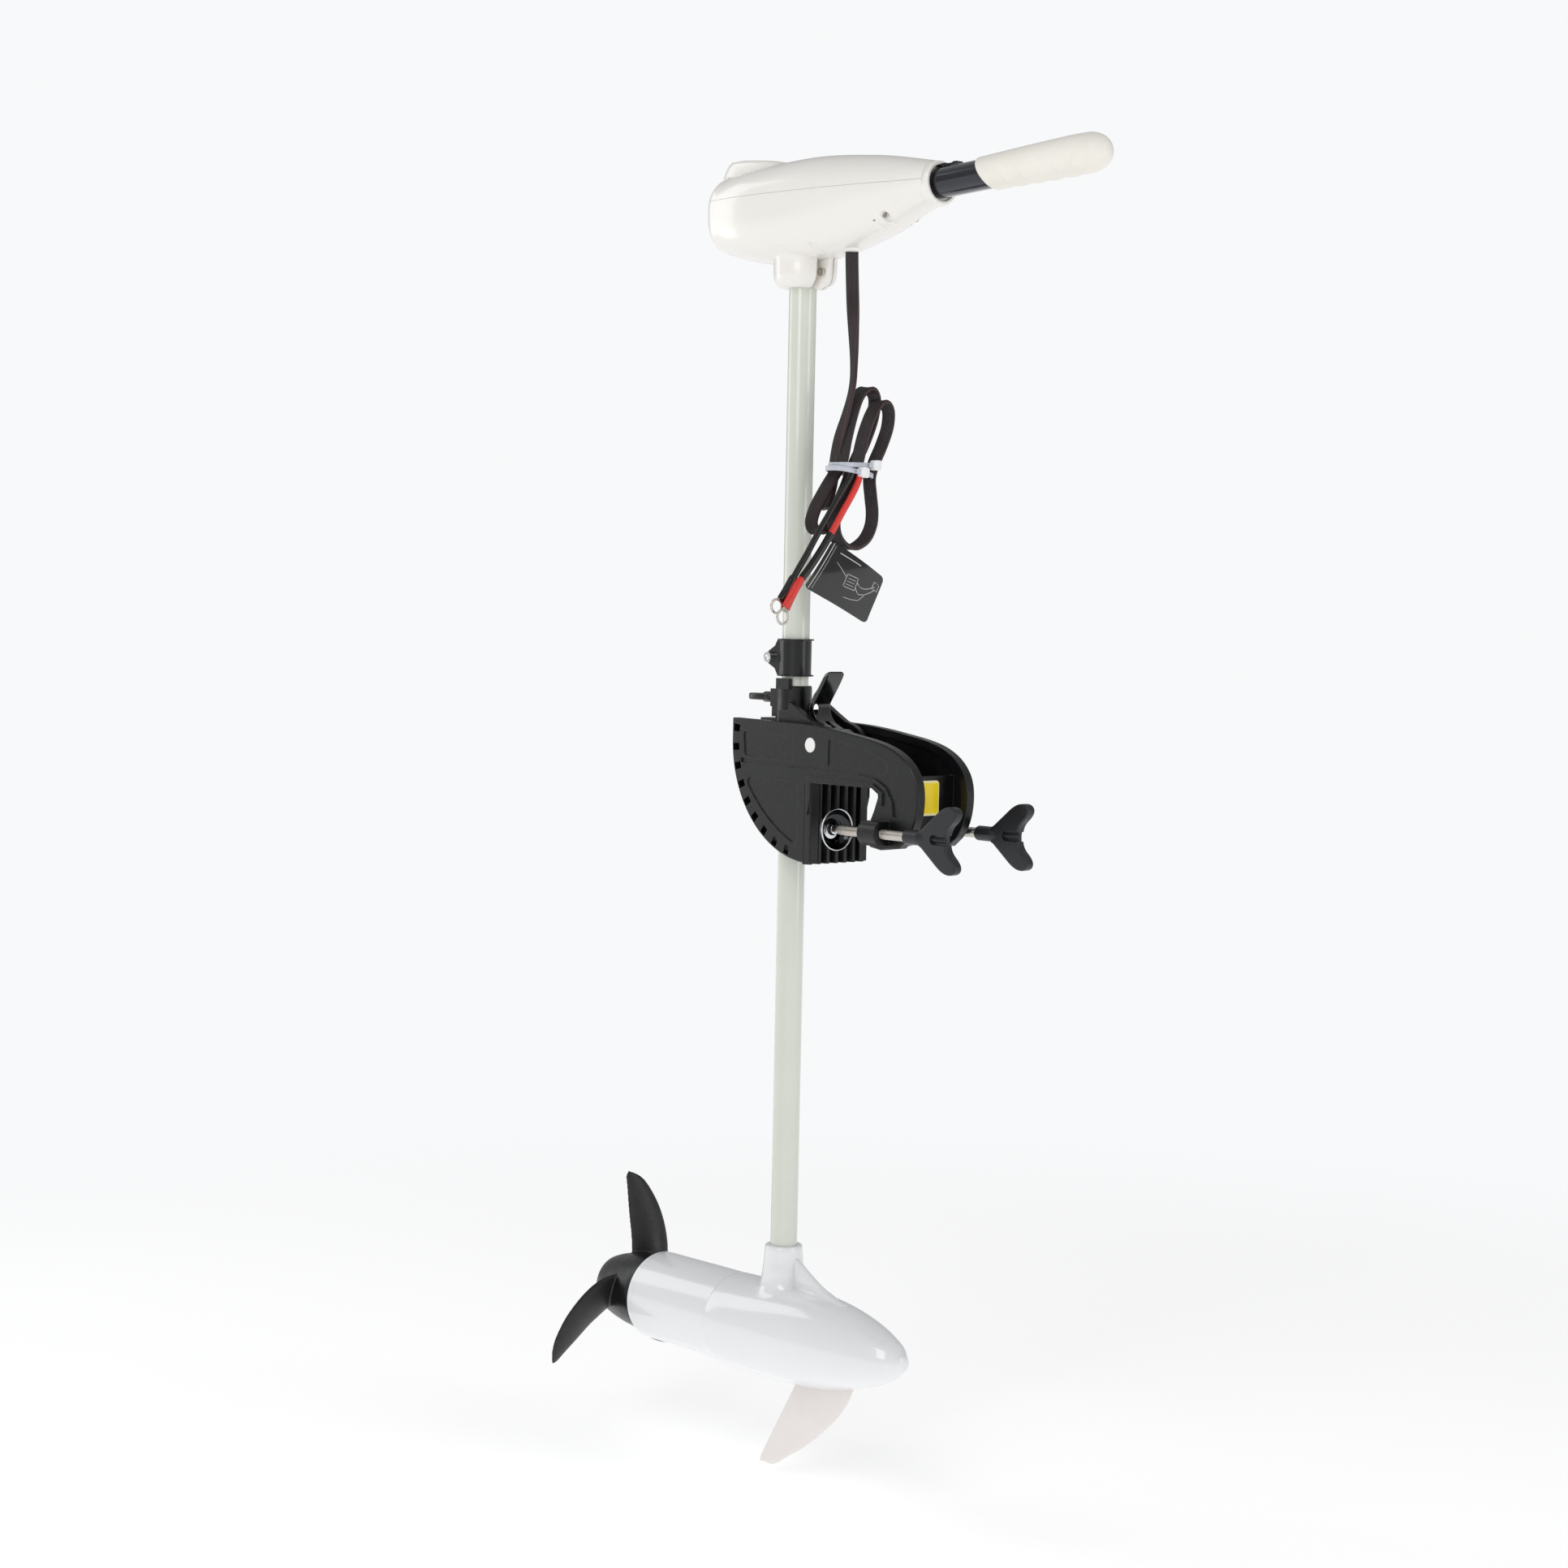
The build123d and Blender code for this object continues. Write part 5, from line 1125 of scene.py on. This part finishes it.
def power_cable():
    profile = cable_profile()
    count = len(profile)
    # red faces in the grooves either side of every third rib, on both wide faces
    red = set()
    for i in range(CABLE_RIBS * RIB_STEPS + 1):
        if i % RIB_STEPS in (0, RIB_STEPS - 1) and (i // RIB_STEPS) % 3 == 1:
            red |= {i, count - 5 - i}
    parts = []
    for loop, x, sway in ((CABLE_LOOP_A, 61.0, 1.0), (CABLE_LOOP_B, 69.5, -1.5)):
        points = [at(x + sway * math.sin(a), y, z) for a, (y, z) in zip(angles(len(loop)), loop)]
        parts.append(sweep(resample(points, 0.0022, True), profile, (0.70, 0.714, 0),
                           closed=True))
    drop = resample([at(*p) for p in CABLE_DROP], 0.0025)
    parts.append(sweep(drop, profile, drop_direction))
    shape = join(parts)
    add_piece("power_cable_flat", shape, "cable_black", "power_cable", split_deg=75,
              looks=["cable_black", "cable_red"],
              face_looks=[int(i % count in red) for i in range(len(shape[1]))])


# ------------------------------------------------------------------ cable ties
def cable_ties():
    band_profile = [
        (-2.3, -0.55), (-2.1, -0.75), (2.1, -0.75), (2.3, -0.55), (2.3, 0.35), (1.7, 0.6),
        (-1.7, 0.6), (-2.3, 0.35)]
    head_outline = [
        (-3.0, -4.7), (3.0, -4.7), (4.0, -4.3), (4.6, -3.3), (4.6, 3.3), (4.0, 4.3),
        (3.0, 4.7), (-3.0, 4.7), (-4.0, 4.3), (-4.6, 3.3), (-4.6, -3.3), (-4.0, -4.3)]
    tail_outline = [(-8.4, -2.1), (-4.2, -2.1), (-4.2, 2.1), (-8.4, 2.1)]
    bands = (    # centre z, slope along y, centre y, half size in x, half size in y
        (831.3, 0.02, 6.5, 13.4, 24.0), (824.6, -0.13, 3.0, 13.8, 23.6))
    heads = (    # x, y, z, turn in radians
        (82.6, 21.5, 831.5, 0.03), (83.6, 5.2, 824.2, -0.12))
    band_look, head_look = 0, 1
    parts = []    # shape, look
    for centre_z, slope, centre_y, half_x, half_y in bands:
        path = []
        for a in angles(48):
            x = 66.5 + half_x * squared(math.cos(a), 3.2)
            y = centre_y + half_y * squared(math.sin(a), 3.2)
            path.append(at(x, y, centre_z + slope * (y - centre_y)))
        parts.append((sweep(path, band_profile, Z_AXIS, closed=True), band_look))
    for x, y, z, turn in heads:
        place = facing_x(x, y, z) @ Matrix.Rotation(turn, 4, "Z")
        parts.append((plate(head_outline, thick=6.4, bevel=0.5, place=place), head_look))
        # cut tail of the strap
        parts.append((plate(tail_outline, thick=1.3, bevel=0.3, place=place), band_look))
    add_piece("cable_tie_bands", join([shape for shape, _ in parts]), "tie_grey",
              "cable_ties", split_deg=50, looks=["tie_grey", "tie_head"],
              face_looks=[look for shape, look in parts for _ in shape[1]])


# ------------------------------------------------------------------ battery leads
# all points are x, y, z; ring is the centre of the terminal
LEADS = {
    "red": dict(
        wire=[(76.5, 8.0, 829), (79, 4.6, 822), (81, 0, 814), (82, -7.5, 803), (82, -19, 787),
              (82, -32, 768), (82, -45, 751), (82, -58, 735.5), (82, -67, 726), (82, -72, 720)],
        boot=[(82, -70.5, 723), (82, -76, 715.7), (82, -82, 706.7), (82, -87.5, 697.2)],
        ring=(82, -91.5, 688.8)),
    "black": dict(
        wire=[(75.5, -1.0, 828), (77, -4.0, 822), (77, -9.5, 814), (77, -18, 803),
              (77, -32, 784), (77, -46, 765), (77, -59, 746), (77, -69, 732.5),
              (77, -75, 724)],
        boot=[(77, -74, 725.5), (77, -79, 718), (77, -84.5, 710.5), (77, -89.0, 704.5)],
        ring=(77, -94.5, 698.6)),
}
SLEEVE = [(82, -33.5, 766), (82, -45, 751), (82, -58, 735.5), (82, -68.5, 724.5)]


def wire(points, radius):
    return sweep(resample([at(*p) for p in points], 0.003), circle(radius, 20), (1, 0.3, 0))


def boot_scale(share):
    """the boot swells at once, then flattens toward the terminal"""
    swell, flatten = min(1, share * 6), max(0, (share - 0.55) / 0.45)
    return ((0.86 + 0.10 * math.sin(swell * math.pi / 2)) * (1 - 0.42 * flatten),
            0.86 + 0.12 * swell + 0.16 * max(0, (share - 0.6) / 0.4))


def battery_leads():
    for colour, lead in LEADS.items():
        boot_path = resample([at(*p) for p in lead["boot"]], 0.0015)
        boot = sweep(boot_path, circle(4.4, 28), X_AXIS, scale=boot_scale)
        add_piece("battery_lead_%s_jacket" % colour, join([wire(lead["wire"], 3.0), boot]),
                  "lead_" + colour, "battery_lead_" + colour, split_deg=60)
    # sleeve over the lower run of the red lead
    add_piece("battery_lead_sleeve", wire(SLEEVE, 3.6), "lead_black", split_deg=60)


def ring_terminals():
    """flat rings, each with a tongue toward its boot"""
    ring_radius, hole_radius, tongue_half_angle = 7.4, 5.3, 0.52
    hole = [(x, -y) for x, y in circle(hole_radius, 40)]
    lugs = []
    for lead in LEADS.values():
        (_, boot_y, boot_z), (_, ring_y, ring_z) = lead["boot"][-1], lead["ring"]
        heading = math.atan2(boot_z - ring_z, boot_y - ring_y)
        cos_h, sin_h = math.cos(heading), math.sin(heading)
        turned = sorted(((a - heading) % TAU, a) for a in angles(48))
        outline = [(ring_radius * math.cos(a), ring_radius * math.sin(a)) for turn, a in turned
                   if tongue_half_angle < turn < TAU - tongue_half_angle]
        outline += [(u * cos_h - w * sin_h, u * sin_h + w * cos_h)
                    for u, w in ((9, -3.1), (15, -3.1), (15, 3.1), (9, 3.1))]
        lugs.append(plate(outline, thick=1.6, bevel=0.3, place=facing_x(*lead["ring"]),
                          holes=[hole], resolution=2))
    add_piece("ring_terminal_lugs", join(lugs), "screw_steel", "ring_terminals", split_deg=45)


# ------------------------------------------------------------------ tag
# y, z of the corners: start and end of the top edge, then start and end of the bottom edge
TAG_TOP = ((-21.5, 760.3), (45.2, 726.8))
TAG_BOTTOM = ((-55.0, 716.8), (26.4, 683.5))
TAG_COLUMNS, TAG_ROWS = 60, 44
TAG_CORNER_U, TAG_CORNER_V = 0.07, 0.07 * 1.25    # corner radius as shares of the edges
TAG_HALF_THICK = 0.45
# line width and path in shares (along the top edge, down): two rules along an edge, then a
# plain wiring sketch without lettering
TAG_LINES = (
    (0.9, [(0.045, 0.02), (0.045, 0.98)]),
    (0.35, [(0.085, 0.05), (0.085, 0.95)]),
    (0.5, [(0.42, 0.38), (0.60, 0.34), (0.62, 0.58), (0.44, 0.62), (0.42, 0.38)]),
    (0.4, [(0.46, 0.44), (0.58, 0.44 - 0.03)]),
    (0.4, [(0.46, 0.50), (0.58, 0.50 - 0.03)]),
    (0.4, [(0.46, 0.56), (0.58, 0.56 - 0.03)]),
    (0.55, [(0.61, 0.42), (0.68, 0.46), (0.76, 0.44), (0.84, 0.36), (0.90, 0.28)]),
    (0.55, [(0.61, 0.52), (0.70, 0.60), (0.79, 0.54), (0.87, 0.42), (0.92, 0.32)]),
    (0.5, [(0.86, 0.20), (0.96, 0.20), (0.96, 0.34), (0.86, 0.34), (0.86, 0.20)]),
    (0.5, [(0.20, 0.30), (0.30, 0.36), (0.42, 0.44)]),
    (0.5, [(0.52, 0.80), (0.64, 0.76), (0.74, 0.70), (0.79, 0.56)]),
    (0.8, [(0.18, 0.12), (0.55, 0.10)]),
)


def tag_point(u, v, lift):
    """point on the gently curled sheet; u along the top edge, v down, lift toward +X"""
    top = Vector(TAG_TOP[0]).lerp(Vector(TAG_TOP[1]), u)
    bottom = Vector(TAG_BOTTOM[0]).lerp(Vector(TAG_BOTTOM[1]), u)
    point = top.lerp(bottom, v)
    curl = 3.2 * math.sin(math.pi * (0.15 + 0.8 * u)) - 1.6 * v + 1.2 * math.sin(3.0 * v + 1.5 * u)
    return at(70.2 + curl + lift, point.x, point.y)


def round_corner(u, v):
    """rounds the corners by pulling the grid in"""
    for corner_u, corner_v in ((0, 0), (1, 0), (0, 1), (1, 1)):
        du, dv = abs(u - corner_u), abs(v - corner_v)
        if du < TAG_CORNER_U and dv < TAG_CORNER_V:
            x, y = 1 - du / TAG_CORNER_U, 1 - dv / TAG_CORNER_V
            pull = max(x, y) / math.hypot(x, y)
            x, y = x * pull, y * pull
            return (corner_u + (TAG_CORNER_U * (1 - x)) * (1 if corner_u == 0 else -1),
                    corner_v + (TAG_CORNER_V * (1 - y)) * (1 if corner_v == 0 else -1))
    return u, v


def hang_tag():
    cols, rows = TAG_COLUMNS, TAG_ROWS
    points = [tag_point(*round_corner(i / cols, j / rows), lift)
              for lift in (TAG_HALF_THICK, -TAG_HALF_THICK)
              for j in range(rows + 1) for i in range(cols + 1)]
    row = cols + 1
    sheet = row * (rows + 1)    # points on one side
    faces = []
    for j in range(rows):
        for i in range(cols):
            a = j * row + i
            b = sheet + a
            faces += [(a, a + 1, a + row + 1, a + row), (b, b + row, b + row + 1, b + 1)]
    rim = [*range(cols), *(cols + j * row for j in range(rows)),
           *(rows * row + i for i in range(cols, 0, -1)), *(j * row for j in range(rows, 0, -1))]
    for a, b in zip(rim, rim[1:] + rim[:1]):
        faces.append((a, sheet + a, sheet + b, b))
    add_piece("hang_tag", (points, faces), "tag_black", "cable_tag", split_deg=50)


def tag_line(width, corners):
    lift, half_thick = 0.52, 0.06
    path = []
    for (u0, v0), (u1, v1) in zip(corners[:-1], corners[1:]):
        n = max(2, int(max(abs(u1 - u0), abs(v1 - v0)) * 60))
        path += [tag_point(u0 + (u1 - u0) * k / n, v0 + (v1 - v0) * k / n, lift)
                 for k in range(n)]
    path.append(tag_point(*corners[-1], lift))
    half = width / 2
    profile = [(-half, -half_thick), (half, -half_thick), (half, half_thick),
               (-half, half_thick)]
    return sweep(path, profile, (0, 0.8, -0.6))


def tag_lines():
    add_piece("hang_tag_lines", join([tag_line(*line) for line in TAG_LINES]), "tag_black",
              split_deg=60, looks=["tag_ink"])


# ------------------------------------------------------------------ label
def label():
    """yellow panel on the bracket's label, which stays visible as a light border"""
    set_only_material(NODES["blank_label"], "label_border")
    border = smooth_outline([(-11, -15), (11, -15), (12, -14), (12, 14), (11, 15), (-11, 15),
                             (-12, 14), (-12, -14)], 0.8)
    panel = plate([(x * 0.9, y * 0.92) for x, y in border], thick=0.3, bevel=0.1,
                  place=facing_x(185.62, 0, 527))
    add_piece("label_panel", panel, "label_yellow", body="clamp_bracket")


def shade_cad_nodes():
    """smooth shading on the CAD nodes that stay"""
    for obj in NODES.values():
        if not obj.hide_render:
            shade(obj.data, 24, reset=True)


# ------------------------------------------------------------------ stage, lights, camera
BACKDROP_COLOUR = (0.985, 0.99, 1.0, 1)
BACKDROP_STRENGTH = 0.955


def add_floor():
    """pale floor that fades into the backdrop away from the scene origin"""
    half, z = 30, -0.6825
    corners = [(-half, -half, z), (half, -half, z), (half, half, z), (-half, half, z)]
    mesh = make_mesh("floor", (corners, [(0, 1, 2, 3)]))
    floor = link_object("floor", mesh)
    pale = material("floor_pale", colour="#f6f6f6", rough=0.9, mottle=0.01, mottle_scale=1.5,
                    rough_var=0.02, bevel=0.0, specular=0.1)
    tree = pale.node_tree
    surface = tree.nodes["Principled BSDF"]
    surface.inputs["Emission Color"].default_value = (1, 1, 1, 1)
    surface.inputs["Emission Strength"].default_value = 0.40
    glow = add_node(tree, "Emission", {"Color": BACKDROP_COLOUR, "Strength": BACKDROP_STRENGTH})
    position = add_node(tree, "NewGeometry").outputs["Position"]
    distance = add_node(tree, "VectorMath", {0: position}, operation="LENGTH").outputs["Value"]
    # the fade runs between these two distances, in metres
    fade = add_node(tree, "MapRange", {0: distance, 1: 0.85, 2: 2.2},
                    interpolation_type="SMOOTHSTEP").outputs[0]
    mixed = add_node(tree, "MixShader", {0: fade, 1: surface.outputs[0], 2: glow.outputs[0]})
    tree.links.new(mixed.outputs[0], tree.nodes["Material Output"].inputs[0])
    mesh.materials.append(pale)


def add_world():
    """backdrop that looks brighter to the camera than the light it gives"""
    world = bpy.data.worlds.new("studio")
    bpy.context.scene.world = world
    world.use_nodes = True
    tree = world.node_tree
    camera_ray = add_node(tree, "LightPath").outputs["Is Camera Ray"]
    strength = add_node(tree, "MapRange", {0: camera_ray, 3: 0.42, 4: BACKDROP_STRENGTH})
    background = tree.nodes["Background"]
    tree.links.new(strength.outputs[0], background.inputs[1])
    background.inputs[0].default_value = BACKDROP_COLOUR


def area_light(name, place, target, width, height, power):
    light = bpy.data.lights.new(name, "AREA")
    light.energy = power
    light.shape = "RECTANGLE"
    light.size = width
    light.size_y = height
    obj = bpy.data.objects.new(name, light)
    obj.location = place
    aim = Vector(target) - Vector(place)
    obj.rotation_euler = aim.to_track_quat("-Z", "Y").to_euler()
    bpy.context.scene.collection.objects.link(obj)


def add_lights():
    area_light("key", place=(0.9, -2.3, 1.5), target=(-0.05, 0, -0.05),
               width=1.1, height=2.4, power=23.5)
    area_light("side", place=(2.3, 0.9, 0.7), target=(-0.05, 0, -0.1),
               width=0.6, height=2.4, power=11)
    area_light("back", place=(-2.1, -0.9, 0.8), target=(-0.05, 0, 0.0),
               width=0.8, height=2.2, power=9)


def add_camera():
    heading, pitch, roll = (math.radians(d) for d in (48.0, 3.5833256, 1.149))
    back = Vector((math.sin(heading) * math.cos(pitch), -math.cos(heading) * math.cos(pitch),
                   math.sin(pitch)))
    level_right = Vector((math.cos(heading), math.sin(heading), 0))
    level_up = back.cross(level_right)
    right = level_right * math.cos(roll) + level_up * math.sin(roll)
    up = -level_right * math.sin(roll) + level_up * math.cos(roll)
    lens = bpy.data.cameras.new("photo_view")
    camera = link_object("photo_view", lens)
    columns = (right, up, back, at(2123.08, -1923.23, 708.11))
    camera.matrix_world = Matrix((*zip(*columns), (0, 0, 0, 1)))
    lens.sensor_width = 36
    lens.lens = 68.926472
    lens.clip_start = 0.05
    lens.clip_end = 60
    bpy.context.scene.camera = camera


# ------------------------------------------------------------------ build
paint_cad_nodes()
head_shell("head_upper_shell", "head_upper_cover", is_upper=True)
head_shell("head_lower_shell", "head_lower_cover", is_upper=False)
seam_tongue()
meter_pod()
clamp_socket()
cable_exit_pad()
twist_grip()
propeller()
nose_casting()
skeg()
clamp_screws()
tilt_lever()
tension_knob()
power_cable()
cable_ties()
battery_leads()
ring_terminals()
hang_tag()
tag_lines()
label()
shade_cad_nodes()
add_floor()
add_world()
add_lights()
add_camera()
view = bpy.context.scene.view_settings
view.view_transform = "Standard"
view.look = "None"
